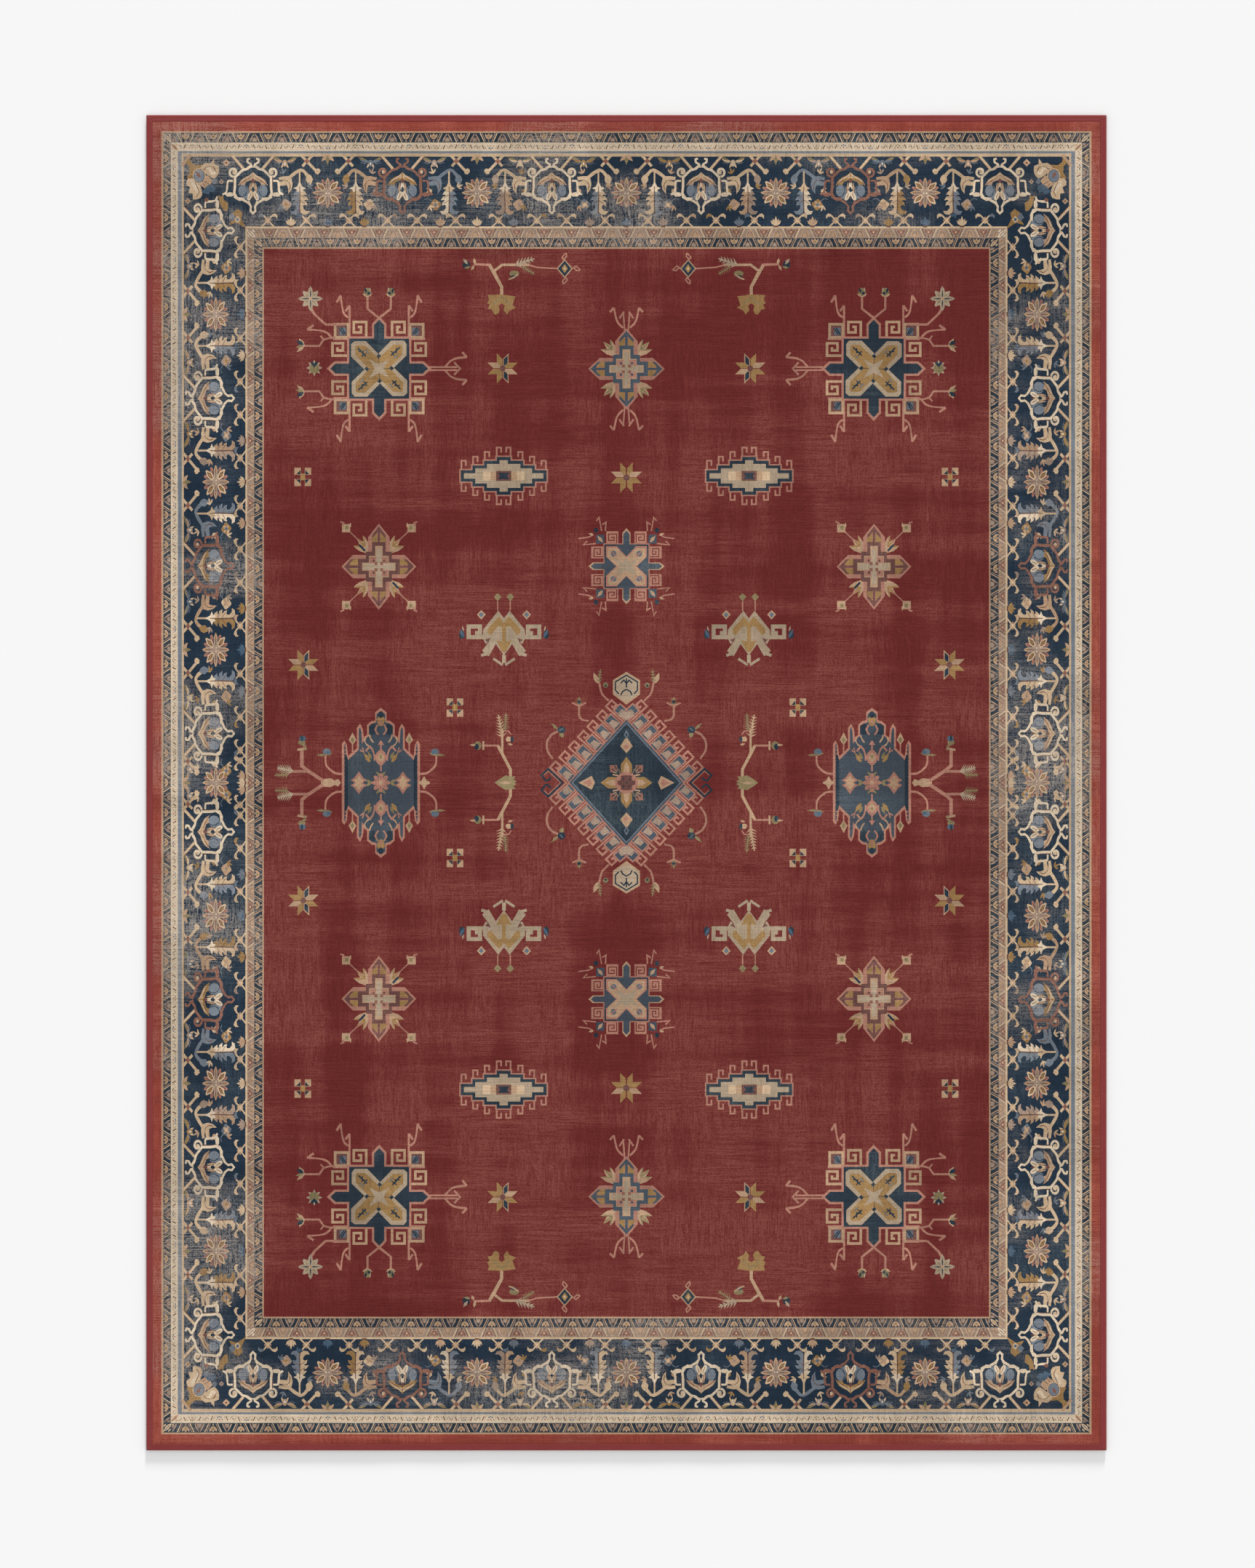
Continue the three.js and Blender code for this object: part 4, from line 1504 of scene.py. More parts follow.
BAKE_MAP = "OFBake"
MAP_MARGIN = 0.004      # the free rim round each part of the flat layout
LOOKS_UP = 0.4          # a face looks up where its unit normal rises more than this


def put_mesh(name: str, points: np.ndarray, faces: Sequence[Sequence[int]] | np.ndarray,
             material: bpy.types.Material, flat_map: np.ndarray | float | None = None
             ) -> bpy.types.Object:
    """Makes an object from points in millimetres, with its place in its mesh.

    Args:
        name: the object's name.
        points: the corners in millimetres.
        faces: the faces' corners, all of one size or mixed.
        material: its finish.
        flat_map: a place in the unit square for each corner of each face, as the piece's own UV map,
            or the share of the square's width that the faces that look up are laid out on.

    Returns:
        The new object.
    """
    mesh = bpy.data.meshes.new(name)
    listed = faces.tolist() if isinstance(faces, np.ndarray) else faces
    mesh.from_pydata((points * MM).tolist(), [], listed)
    mesh.polygons.foreach_set("use_smooth", np.full(len(mesh.polygons), True))
    mesh.materials.append(material)
    if flat_map is not None:
        rows = laid_out(mesh, points, flat_map) if isinstance(flat_map, float) else flat_map
        layer = mesh.uv_layers.new(name=BAKE_MAP)
        layer.uv.foreach_set("vector", rows.astype(np.float32).ravel())
    mesh.update()
    piece = bpy.data.objects.new(name, mesh)
    bpy.context.scene.collection.objects.link(piece)
    return piece


def laid_out(mesh: bpy.types.Mesh, points: np.ndarray, share: float) -> np.ndarray:
    """A flat layout seen from above: faces that look up on one part of the unit square, others beside.

    Args:
        mesh: the mesh.
        points: its corners.
        share: the part of the square's width for the faces that look up.

    Returns:
        A place in the unit square for each corner of each face.
    """
    corner = np.empty(len(mesh.loops), np.int32)
    mesh.loops.foreach_get("vertex_index", corner)
    count = np.empty(len(mesh.polygons), np.int32)
    mesh.polygons.foreach_get("loop_total", count)
    normals = np.empty(3 * len(mesh.polygons), np.float32)
    mesh.polygons.foreach_get("normal", normals)
    up = np.repeat(normals[2::3] > LOOKS_UP, count)
    low, high = points[:, :2].min(axis=0), points[:, :2].max(axis=0)
    place = ((points[:, :2] - low) / (high - low))[corner]
    u = np.where(up, place[:, 0] * (share - 2 * MAP_MARGIN) + MAP_MARGIN,
                 share + place[:, 0] * (1 - share - 2 * MAP_MARGIN) + MAP_MARGIN)
    return np.stack([u, place[:, 1] * (1 - 2 * MAP_MARGIN) + MAP_MARGIN], axis=1)


def grid_faces(rows: int, columns: int, first: int = 0, turned: bool = False) -> np.ndarray:
    """The quads of a grid whose points run row by row, facing up where x grows along a row.

    Args:
        rows: how many rows of points the grid has.
        columns: how many points each row has.
        first: the first point's number.
        turned: whether they face down instead.

    Returns:
        The quads.
    """
    index = first + np.arange(rows * columns).reshape(rows, columns)
    quads = np.stack([index[:-1, :-1], index[:-1, 1:], index[1:, 1:], index[1:, :-1]], axis=-1)
    quads = quads.reshape(-1, 4)
    return quads[:, ::-1] if turned else quads


def tube_faces(rings: int, sides: int) -> np.ndarray:
    """The quads round a tube whose points run ring by ring.

    Args:
        rings: how many rings of points it has.
        sides: how many points each ring has.

    Returns:
        The quads.
    """
    index = np.arange(rings * sides).reshape(rings, sides)
    beside = np.roll(index, -1, axis=1)
    return np.stack([index[:-1], beside[:-1], beside[1:], index[1:]], axis=-1).reshape(-1, 4)


def repeated(faces: np.ndarray, copies: int, size: int) -> np.ndarray:
    """The faces of many equal solids of the given number of points, listed one after the other."""
    every = faces[None] + (np.arange(copies) * size)[:, None, None]
    return every.reshape(-1, faces.shape[1])


def ring(rows: int, columns: int) -> np.ndarray:
    """The points round a grid's border, anticlockwise from its first point."""
    index = np.arange(rows * columns).reshape(rows, columns)
    return np.concatenate([index[0, :-1], index[:-1, -1], index[-1, :0:-1], index[:0:-1, 0]])


def wall_faces(top: np.ndarray, bottom: np.ndarray) -> np.ndarray:
    """Quads that join two rings of points, facing out where the rings run anticlockwise."""
    return np.stack([bottom, np.roll(bottom, -1), np.roll(top, -1), top], axis=1)


def layer_mesh(xs: np.ndarray, ys: np.ndarray, bottom: np.ndarray, top: np.ndarray,
               softness: float = 0.0) -> tuple[np.ndarray, np.ndarray]:
    """A closed layer on a grid, its rim drawn in at mid height so that it looks soft.

    Args:
        xs: places across.
        ys: places along.
        bottom: the lower heights, one for each grid point.
        top: the upper heights.
        softness: how far the upper and lower corners are drawn in from the rim.

    Returns:
        The points and the quads.
    """
    rows, columns = len(ys), len(xs)
    x, y = np.meshgrid(xs, ys)
    drawn_x, drawn_y = x.copy(), y.copy()
    drawn_x[:, 0] += softness
    drawn_x[:, -1] -= softness
    drawn_y[0] += softness
    drawn_y[-1] -= softness
    border = ring(rows, columns)
    middle = ((bottom + top) / 2).ravel()[border]
    points = np.vstack([
        np.stack([drawn_x, drawn_y, top], axis=-1).reshape(-1, 3),
        np.stack([drawn_x, drawn_y, bottom], axis=-1).reshape(-1, 3),
        np.stack([x.ravel()[border], y.ravel()[border], middle], axis=-1)])
    count = rows * columns
    rim = 2 * count + np.arange(len(border))
    quads = np.vstack([grid_faces(rows, columns), grid_faces(rows, columns, count, True),
                       wall_faces(border, rim), wall_faces(rim, border + count)])
    return points, quads


# Finishes

Socket = bpy.types.NodeSocket
Tone = tuple[int, int, int]


def linear(tone: Tone) -> tuple[float, float, float, float]:
    """An sRGB tone from 0 to 255 as the linear colour that a shader takes.

    Args:
        tone: the tone.

    Returns:
        Its red, green, blue and alpha.
    """
    share = np.array(tone) / 255
    value = np.where(share <= 0.04045, share / 12.92, ((share + 0.055) / 1.055) ** 2.4)
    return (float(value[0]), float(value[1]), float(value[2]), 1.0)


class Recipe:
    """A material under construction: its shader, and short ways to add nodes to it."""

    def __init__(self, name: str, roughness: float, specular: float, sheen: float = 0.0) -> None:
        """Starts a material.

        Args:
            name: the material's name.
            roughness: how matt it is.
            specular: how strongly it reflects.
            sheen: how much fuzz lights up at a low angle.
        """
        self.material = bpy.data.materials.new(name)
        self.material.use_nodes = True
        self.tree = self.material.node_tree
        self.shader = self.tree.nodes["Principled BSDF"]
        self.shader.inputs["Roughness"].default_value = roughness
        self.shader.inputs["Specular IOR Level"].default_value = specular
        self.shader.inputs["Sheen Weight"].default_value = sheen
        self.shader.inputs["Sheen Roughness"].default_value = 0.6

    def node(self, kind: str, inputs: dict[int | str, object], **settings: object) -> bpy.types.Node:
        """Adds a node.

        Args:
            kind: the node's type name.
            inputs: for each input, a socket to link or a value to set.
            settings: the node's own settings.

        Returns:
            The node.
        """
        made = self.tree.nodes.new(kind)
        for key, value in settings.items():
            setattr(made, key, value)
        for key, value in inputs.items():
            if isinstance(value, Socket):
                self.tree.links.new(value, made.inputs[key])
            else:
                made.inputs[key].default_value = value
        return made

    def noise(self, across: float, along: float, detail: float = 2.0, roughness: float = 0.5,
              shift: float = 0.0) -> Socket:
        """Noise on Object coordinates.

        Args:
            across: the size of its grains along X, in millimetres.
            along: their size along Y.
            detail: how many finer layers it has.
            roughness: how strong they are.
            shift: moves the pattern, so that two noises differ.

        Returns:
            Its value, about 0.5 on average.
        """
        place = self.node("ShaderNodeTexCoord", {}).outputs["Object"]
        scale = (1 / (across * MM), 1 / (along * MM), 2 / ((across + along) * MM))
        mapped = self.node("ShaderNodeMapping", {"Vector": place, "Scale": scale,
                                                 "Location": (shift, shift * 0.7, shift * 0.3)})
        made = self.node("ShaderNodeTexNoise", {"Vector": mapped.outputs[0], "Scale": 1.0,
                                                "Detail": detail, "Roughness": roughness})
        return made.outputs[0]

    def math(self, operation: str, first: Socket | float, second: Socket | float = 0.0,
             third: Socket | float = 0.0) -> Socket:
        """The result of one sum on sockets or numbers."""
        made = self.node("ShaderNodeMath", {0: first, 1: second, 2: third}, operation=operation)
        return made.outputs[0]

    def times(self, first: Socket | float, second: Socket | float) -> Socket:
        """The product of two sockets or numbers."""
        return self.math("MULTIPLY", first, second)

    def span(self, value: Socket, low: float, high: float, to_low: float = 0.0,
             to_high: float = 1.0) -> Socket:
        """A value stretched from one span to another with eased ends, and held to it.

        Args:
            value: the value.
            low: where the first span begins.
            high: where it ends.
            to_low: where the second span begins.
            to_high: where it ends.

        Returns:
            The new value.
        """
        made = self.node("ShaderNodeMapRange", {"Value": value, "From Min": low, "From Max": high,
                                                "To Min": to_low, "To Max": to_high},
                         interpolation_type="SMOOTHSTEP")
        return made.outputs[0]

    def mix(self, first: Socket | tuple, second: Socket | tuple, share: Socket | float,
            blend: str = "MIX") -> Socket:
        """Two colours mixed by a share, in the blend mode named.

        Args:
            first: the first colour.
            second: the second one.
            share: the second one's share.
            blend: the blend mode.

        Returns:
            The mixed colour.
        """
        made = self.node("ShaderNodeMix", {0: share, 6: first, 7: second}, data_type="RGBA",
                         blend_type=blend)
        return made.outputs[2]

    def scaled(self, colour: Socket, factor: Socket) -> Socket:
        """A colour made lighter or darker by a factor."""
        made = self.node("ShaderNodeVectorMath", {0: colour, "Scale": factor}, operation="SCALE")
        return made.outputs[0]

    def finish(self, colour: Socket, height: Socket, depth: float, strength: float = 1.0
               ) -> bpy.types.Material:
        """Links the colour and a bump, and returns the material.

        Args:
            colour: the surface's colour.
            height: the bump's height, from 0 to 1.
            depth: how deep the bump is, in millimetres.
            strength: how much of it shows.

        Returns:
            The finished material.
        """
        self.tree.links.new(colour, self.shader.inputs["Base Color"])
        bump = self.node("ShaderNodeBump", {"Height": height, "Distance": depth * MM,
                                            "Strength": strength})
        self.tree.links.new(bump.outputs[0], self.shader.inputs["Normal"])
        return self.material


INK_LAYER = "ink"


@dataclass(frozen=True)
class PrintedPile:
    """The printed chenille face: ink on a fine weave, rubbed pale in patches.

    Attributes:
        bloom: the linear light that worn threads add to warm inks.
        haze: the light that they add to cool ones.
        scuff: the pale tone that shows where the border is rubbed through.
        field_edge: half the field's width and length in metres, where the border begins.
        weft: the pitch of the threads that run across the rug, in millimetres.
        warp: the pitch of the threads that run along it.
        block: the size of the rubbed patches.
    """

    bloom: tuple[float, float, float, float] = (0.074, 0.049, 0.034, 1.0)
    haze: tuple[float, float, float, float] = (0.05, 0.06, 0.056, 1.0)
    scuff: tuple[float, float, float, float] = (0.42, 0.36, 0.31, 1.0)
    field_edge: tuple[float, float] = (0.575, 0.848)
    weft: float = 1.8
    warp: float = 2.3
    block: float = 95.0

    def material(self) -> bpy.types.Material:
        """Builds the material: ink, shaded in broad blocks and by threads that run both ways."""
        r = Recipe("printed_pile", 0.95, 0.1, 0.04)
        ink = r.node("ShaderNodeAttribute", {}, attribute_name=INK_LAYER).outputs["Color"]

        # The weave: threads both ways, each stronger in its own blocks, with knots on them.
        weft = r.noise(48, self.weft, 2.0, 0.7, 7.7)
        warp = r.noise(self.warp, 30, 2.0, 0.7, 3.1)
        knots = r.noise(1.8, 1.8, 0.0, 0.5, 6.4)
        share = r.span(r.noise(self.block, self.block, 1.0, 0.5, 2.6), 0.38, 0.62, 0.25, 0.85)
        weave = r.math("ADD", r.times(weft, share),
                       r.times(warp, r.math("SUBTRACT", 1.0, share)))
        weave = r.math("MULTIPLY_ADD", knots, 0.3, r.times(weave, 0.7))

        # Broad light and dark: bars across, posts along, and clouds.
        bars = r.noise(self.block * 9, self.block * 0.5, 2.0, 0.55, 1.3)
        posts = r.noise(self.block * 0.6, self.block * 6, 2.0, 0.55, 5.9)
        clouds = r.noise(self.block * 3, self.block * 3, 2.0, 0.5, 4.1)
        broad = r.math("MULTIPLY_ADD", r.math("ADD", bars, posts), 0.35, r.times(clouds, 0.3))
        light = r.times(r.span(broad, 0.42, 0.58, 0.86, 1.1),
                       r.span(weave, 0.31, 0.69, 0.83, 1.17))
        toned = r.scaled(ink, light)

        # Worn threads add a warm bloom to warm inks and a haze to cool ones.
        worn = r.times(r.span(weave, 0.32, 0.7), r.span(broad, 0.44, 0.57, 0.12, 0.9))
        parts = r.node("ShaderNodeSeparateColor", {0: ink})
        cool = r.span(r.math("SUBTRACT", parts.outputs[2], parts.outputs[0]), -0.02, 0.02)
        patch = r.span(r.noise(self.block * 2, self.block * 1.2, 2.0, 0.5, 9.2), 0.4, 0.6, -0.8, 0.0)
        worn = r.times(worn, r.math("MULTIPLY_ADD", cool, patch, 1.0))
        colour = r.mix(toned, r.mix(self.bloom, self.haze, cool), worn, "SCREEN")

        # The border is rubbed through in patches, most of all on its cool inks.
        axes = r.node("ShaderNodeSeparateXYZ", {0: r.node("ShaderNodeTexCoord", {}).outputs["Object"]})
        beyond = [r.math("SUBTRACT", r.math("ABSOLUTE", place), edge)
                  for place, edge in zip(axes.outputs, self.field_edge)]
        border = r.span(r.math("MAXIMUM", *beyond), -0.005, 0.01)
        rubbed = r.span(r.noise(self.block * 2.6, self.block * 2, 3.0, 0.6, 12.4), 0.48, 0.68, 0.0, 0.62)
        rubbed = r.times(r.times(rubbed, border), r.span(weave, 0.38, 0.62))
        rubbed = r.times(rubbed, r.math("MULTIPLY_ADD", cool, 0.65, 0.35))
        colour = r.mix(colour, self.scuff, rubbed)
        return r.finish(colour, r.span(weave, 0.3, 0.7), 0.3, 0.5)


@dataclass(frozen=True)
class WovenTape:
    """The plain binding tape: a fine rib that runs along and across."""

    tone: Tone = (127, 45, 45)

    def material(self) -> bpy.types.Material:
        """Builds the material: an even red with a close weave, paler on the rib's raised threads as painted
        highlight.
        """
        r = Recipe("edge_tape_weave", 0.9, 0.2, 0.1)
        fine = r.math("ADD", r.noise(0.7, 2.5, 1.0, 0.5, 1.0), r.noise(2.5, 0.7, 1.0, 0.5, 4.0))
        broad = r.noise(30, 30, 2.0, 0.5, 2.0)
        light = r.math("ADD", r.span(fine, 0.7, 1.3, 0.94, 1.06), r.span(broad, 0.3, 0.7, -0.03, 0.03))
        # The lighter red follows the rib's bump: painted highlight on the raised threads, with broad uneven
        # tone from the cloud noise.
        colour = r.mix(linear(self.tone), linear((152, 74, 70)), r.span(light, 0.9, 1.1, 0.0, 0.22))
        return r.finish(colour, fine, 0.12, 0.5)


@dataclass(frozen=True)
class SewingThread:
    """Spun polyester thread, a shade deeper than the tape."""

    tone: Tone = (124, 50, 52)
    painted_highlight: Tone = (160, 82, 80)

    def material(self) -> bpy.types.Material:
        """Builds the material: twisted fibres a little shinier than the cloth, with a painted highlight on
        the raised fibres.
        """
        r = Recipe("sewing_thread", 0.62, 0.35, 0.1)
        fibre = r.math("ADD", r.noise(0.25, 0.9, 1.0, 0.5, 6.0), r.noise(0.9, 0.25, 1.0, 0.5, 2.0))
        # The paler tone on the raised fibres is a painted highlight.
        colour = r.mix(linear(self.tone), linear(self.painted_highlight), r.span(fibre, 0.8, 1.3, 0.0, 0.6))
        return r.finish(colour, fibre, 0.06, 0.6)


@dataclass(frozen=True)
class MottledCloth:
    """A cloth of two mixed tones with grains of one size: backing, felt or label.

    Attributes:
        name: the material's name.
        dark: its darker tone.
        pale: its paler tone.
        grain: the size of its loops or fibres across, in millimetres.
        run: their size along.
        depth: the depth of the relief in millimetres.
    """

    name: str
    dark: Tone
    pale: Tone
    grain: float
    run: float
    depth: float

    def material(self) -> bpy.types.Material:
        """Builds the material: fibres, broader clouds and flecks."""
        r = Recipe(self.name, 0.95, 0.15, 0.2)
        fibre = r.noise(self.grain, self.run, 3.0, 0.6, 2.2)
        other = r.noise(self.run, self.grain, 2.0, 0.6, 8.1)
        cloud = r.noise(70, 90, 3.0, 0.55, 3.3)
        mixed = r.math("MULTIPLY_ADD", r.math("ADD", fibre, other), 0.4, r.times(cloud, 0.2))
        colour = r.mix(linear(self.dark), linear(self.pale), r.span(mixed, 0.35, 0.65))
        return r.finish(colour, r.math("ADD", fibre, other), self.depth, 0.7)


@dataclass(frozen=True)
class LoopKnit:
    """The looped underside of the cover: small round loops in rows."""

    dark: Tone = (150, 143, 130)
    pale: Tone = (196, 189, 176)
    pitch: float = 1.6

    def material(self) -> bpy.types.Material:
        """Builds the material: cells of a Voronoi pattern, round and raised in the middle, pale on each
        raised middle and dark between the loops as painted shade.
        """
        r = Recipe("loop_backing_knit", 0.96, 0.12, 0.2)
        place = r.node("ShaderNodeTexCoord", {}).outputs["Object"]
        cells = r.node("ShaderNodeTexVoronoi", {"Vector": place, "Scale": 1 / (self.pitch * MM),
                                                "Randomness": 0.45})
        loop = r.span(cells.outputs["Distance"], 0.65, 0.05)
        cloud = r.noise(60, 80, 3.0, 0.5, 4.4)
        # Dark between the loops and pale on their raised middles: painted shade, with clouds of uneven tone.
        share = r.math("MULTIPLY_ADD", loop, 0.75, r.span(cloud, 0.3, 0.7, 0.0, 0.25))
        colour = r.mix(linear(self.dark), linear(self.pale), share)
        return r.finish(colour, loop, 0.5, 0.8)


@dataclass(frozen=True)
class BarrierFilm:
    """The thin film between face and backing, milky and softly shiny."""

    tone: Tone = (214, 214, 210)

    def material(self) -> bpy.types.Material:
        """Builds the material: a milky skin with faint creases, darker along them as painted shade."""
        r = Recipe("barrier_film_skin", 0.5, 0.4)
        crease_and_painted_shade = r.noise(18, 40, 3.0, 0.55, 1.9)
        # The darker grey along the creases is painted shade.
        colour = r.mix(linear(self.tone), linear((190, 190, 188)), r.span(crease_and_painted_shade, 0.35, 0.65, 0.0, 0.5))
        return r.finish(colour, crease_and_painted_shade, 0.2, 0.4)


@dataclass(frozen=True)
class GripRubber:
    """Foamed rubber in a matt grey, with fine pits."""

    tone: Tone = (92, 89, 86)
    worn: Tone = (122, 119, 115)

    def material(self) -> bpy.types.Material:
        """Builds the material: grey rubber with pits and paler rubbed places."""
        r = Recipe("grip_rubber_foam", 0.82, 0.25)
        pits = r.noise(0.9, 0.9, 3.0, 0.6, 5.0)
        rubbed = r.noise(45, 45, 3.0, 0.6, 2.7)
        share = r.times(r.span(rubbed, 0.4, 0.7), r.span(pits, 0.4, 0.6, 0.4, 1.0))
        colour = r.mix(linear(self.tone), linear(self.worn), share)
        return r.finish(colour, pits, 0.15, 0.7)


# The rug's pieces

class Body(Enum):
    """The two bodies that the pieces ride on."""

    PAD = "pad"
    COVER = "cover"


class Side(Enum):
    """The rug's four edges, each with its outward direction."""

    LEFT = (-1, 0)
    RIGHT = (1, 0)
    NEAR = (0, -1)
    FAR = (0, 1)

    @property
    def word(self) -> str:
        """The edge's name as the CAD nodes have it."""
        return self.name.lower()


@dataclass(frozen=True)
class Box:
    """A CAD node's box in millimetres."""

    low: np.ndarray
    high: np.ndarray

    @classmethod
    def of(cls, node: str) -> "Box":
        """Reads the box of a CAD node."""
        low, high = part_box(node)
        return cls(np.array(low) / MM, np.array(high) / MM)

    @property
    def height(self) -> float:
        """The box's height."""
        return float(self.high[2] - self.low[2])


def hold(piece: bpy.types.Object, body: Body, slot: str, *nodes: str) -> bpy.types.Object:
    """Ties a piece to its body, and lets it stand for CAD nodes.

    Args:
        piece: the piece.
        body: the body that it rides on.
        slot: the record's material slot; not used.
        nodes: the CAD nodes that it stands for.

    Returns:
        The piece.
    """
    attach(piece, body.value)
    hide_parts(*nodes)
    LOG.info("%s: %d faces on %s", piece.name, len(piece.data.polygons), body.value)
    return piece


@dataclass
class CoverCloth:
    """The three joined layers of the cover: printed face, barrier film and looped backing.

    Attributes:
        lie: how the cover lies.
        pitch: the spacing of the even grid lines in millimetres.
        press: how far the tape presses the face down.
        tape_width: how much of the edge the tape covers.
        insets: the closer grid lines, as distances in from the edge.
        jitter: how much the tone varies from shape to shape, as a share of it.
    """

    lie: Lie
    pitch: float = 38.0
    press: float = 0.35
    tape_width: float = 10.0
    insets: tuple[float, ...] = (2.5, 5.5, 9.0, 10.5, 12.5, 16.0, 21.0)
    jitter: float = 0.03

    def grid(self, box: Box) -> tuple[np.ndarray, np.ndarray]:
        """The grid lines of a layer, across and along.

        Args:
            box: the layer's box.

        Returns:
            The places across and along.
        """
        xs = stations(float(box.high[0]), self.pitch, self.insets)
        ys = stations(float(box.high[1]), self.pitch, self.insets)
        return xs, ys

    def pressed(self, x: np.ndarray, y: np.ndarray) -> np.ndarray:
        """How far the face is pressed down at each place: an eased ramp under the tape's rim."""
        inset = self.lie.inset(x, y)
        return self.press * (1 - smooth(self.tape_width - 1, self.tape_width + 1.5, inset))

    def build_face(self, finish: PrintedPile) -> bpy.types.Object:
        """Builds the printed face: the cut print on top, a plain grid below, and walls between.

        Args:
            finish: the face's finish.

        Returns:
            The face.
        """
        box = Box.of("printed_face")
        xs, ys = self.grid(box)
        design = RugPattern(self.lie.half_width, self.lie.half_length)
        shapes = design.draw()
        lattice = np.stack(np.meshgrid(xs[xs <= 0], ys[ys >= 0]), axis=-1).reshape(-1, 2)
        low, high = np.array([xs[0], 0.0]), np.array([0.0, ys[-1]])
        plane = mirror_whole(cut_quarter(shapes, low, high, lattice))
        LOG.info("print: %d shapes, %d triangles", len(shapes), len(plane.triangles))

        x, y = plane.points.T
        top = box.high[2] + self.lie.rise(x, y) - self.pressed(x, y)
        gx, gy = (g.ravel() for g in np.meshgrid(xs, ys))
        base = box.low[2] + self.lie.rise(gx, gy)
        points = np.vstack([np.column_stack([x, y, top]), np.column_stack([gx, gy, base])])
        border = ring(len(ys), len(xs))
        count = len(plane.points)
        on_rim = np.flatnonzero((np.abs(x) > xs[-1] - SNAP) | (np.abs(y) > ys[-1] - SNAP))
        keys = np.round(np.vstack([plane.points[on_rim], points[count + border, :2]]), 1) + 0.0
        _, index = np.unique(keys, axis=0, return_inverse=True)
        index = index.ravel()
        upper = np.full(index.max() + 1, -1)
        upper[index[:len(on_rim)]] = on_rim
        upper = upper[index[len(on_rim):]]
        if (upper < 0).any() or len(on_rim) != len(border):
            raise ValueError("the print's rim doesn't meet the grid below it")
        rest = np.vstack([grid_faces(len(ys), len(xs), count, True), wall_faces(upper, count + border)])
        faces = plane.triangles.tolist() + rest.tolist()

        piece = put_mesh("rug_face", points, faces, finish.material(), 0.95)

        tones = np.array([s.ink.value for s in shapes], float)[plane.shape]
        varied = 1 + self.jitter * np.random.default_rng(7).standard_normal(len(shapes))[plane.shape]
        tones = np.clip(tones * varied[:, None], 0, 255) / 255
        corners = np.ones((len(piece.data.loops), 4), np.float32)
        corners[:3 * len(tones), :3] = np.repeat(tones, 3, axis=0)
        corners[3 * len(tones):, :3] = np.array(EDGE_RED.value) / 255
        layer = piece.data.color_attributes.new(INK_LAYER, "BYTE_COLOR", "CORNER")
        layer.data.foreach_set("color_srgb", corners.ravel())
        return hold(piece, Body.COVER, "printed_face", "printed_face")

    def build_under(self, node: str, name: str, material: bpy.types.Material) -> bpy.types.Object:
        """Builds the film or the backing as a thin closed sheet that follows the lie.

        Args:
            node: the CAD node that it stands for.
            name: the piece's name.
            material: its finish.

        Returns:
            The sheet.
        """
        box = Box.of(node)
        xs, ys = self.grid(box)
        x, y = np.meshgrid(xs, ys)
        rise = self.lie.rise(x, y)
        points, quads = layer_mesh(xs, ys, box.low[2] + rise, box.high[2] + rise)
        return hold(put_mesh(name, points, quads, material, 0.5), Body.COVER, node, node)


CORNER_FREE = 1.5       # between the last stitch of a row and the row round the corner, in millimetres
SEAM_SINK = 0.1         # how deep a seam is pulled into the cloth


def turned_out(points: np.ndarray, faces: np.ndarray) -> np.ndarray:
    """Faces turned to look outwards: all are reversed where the volume they close is negative.

    Args:
        points: the corners.
        faces: quads or triangles, all of one size.

    Returns:
        The faces.
    """
    corner = points[faces]
    volume = 0.0
    for i in range(1, faces.shape[1] - 1):
        volume += np.einsum("ij,ij->", corner[:, 0], np.cross(corner[:, i], corner[:, i + 1]))
    return faces if volume > 0 else faces[:, ::-1]


def along_edge(side: Side, half: np.ndarray, inset: np.ndarray, t: np.ndarray
               ) -> tuple[np.ndarray, np.ndarray]:
    """Places beside one edge.

    Args:
        side: which edge.
        half: half the cover's width and length.
        inset: the distance in from the edge.
        t: the distance along it from its middle.

    Returns:
        Their x and their y.
    """
    outward = np.array(side.value, float)
    reach = abs(outward @ half) - inset
    return outward[0] * reach - outward[1] * t, outward[1] * reach + outward[0] * t


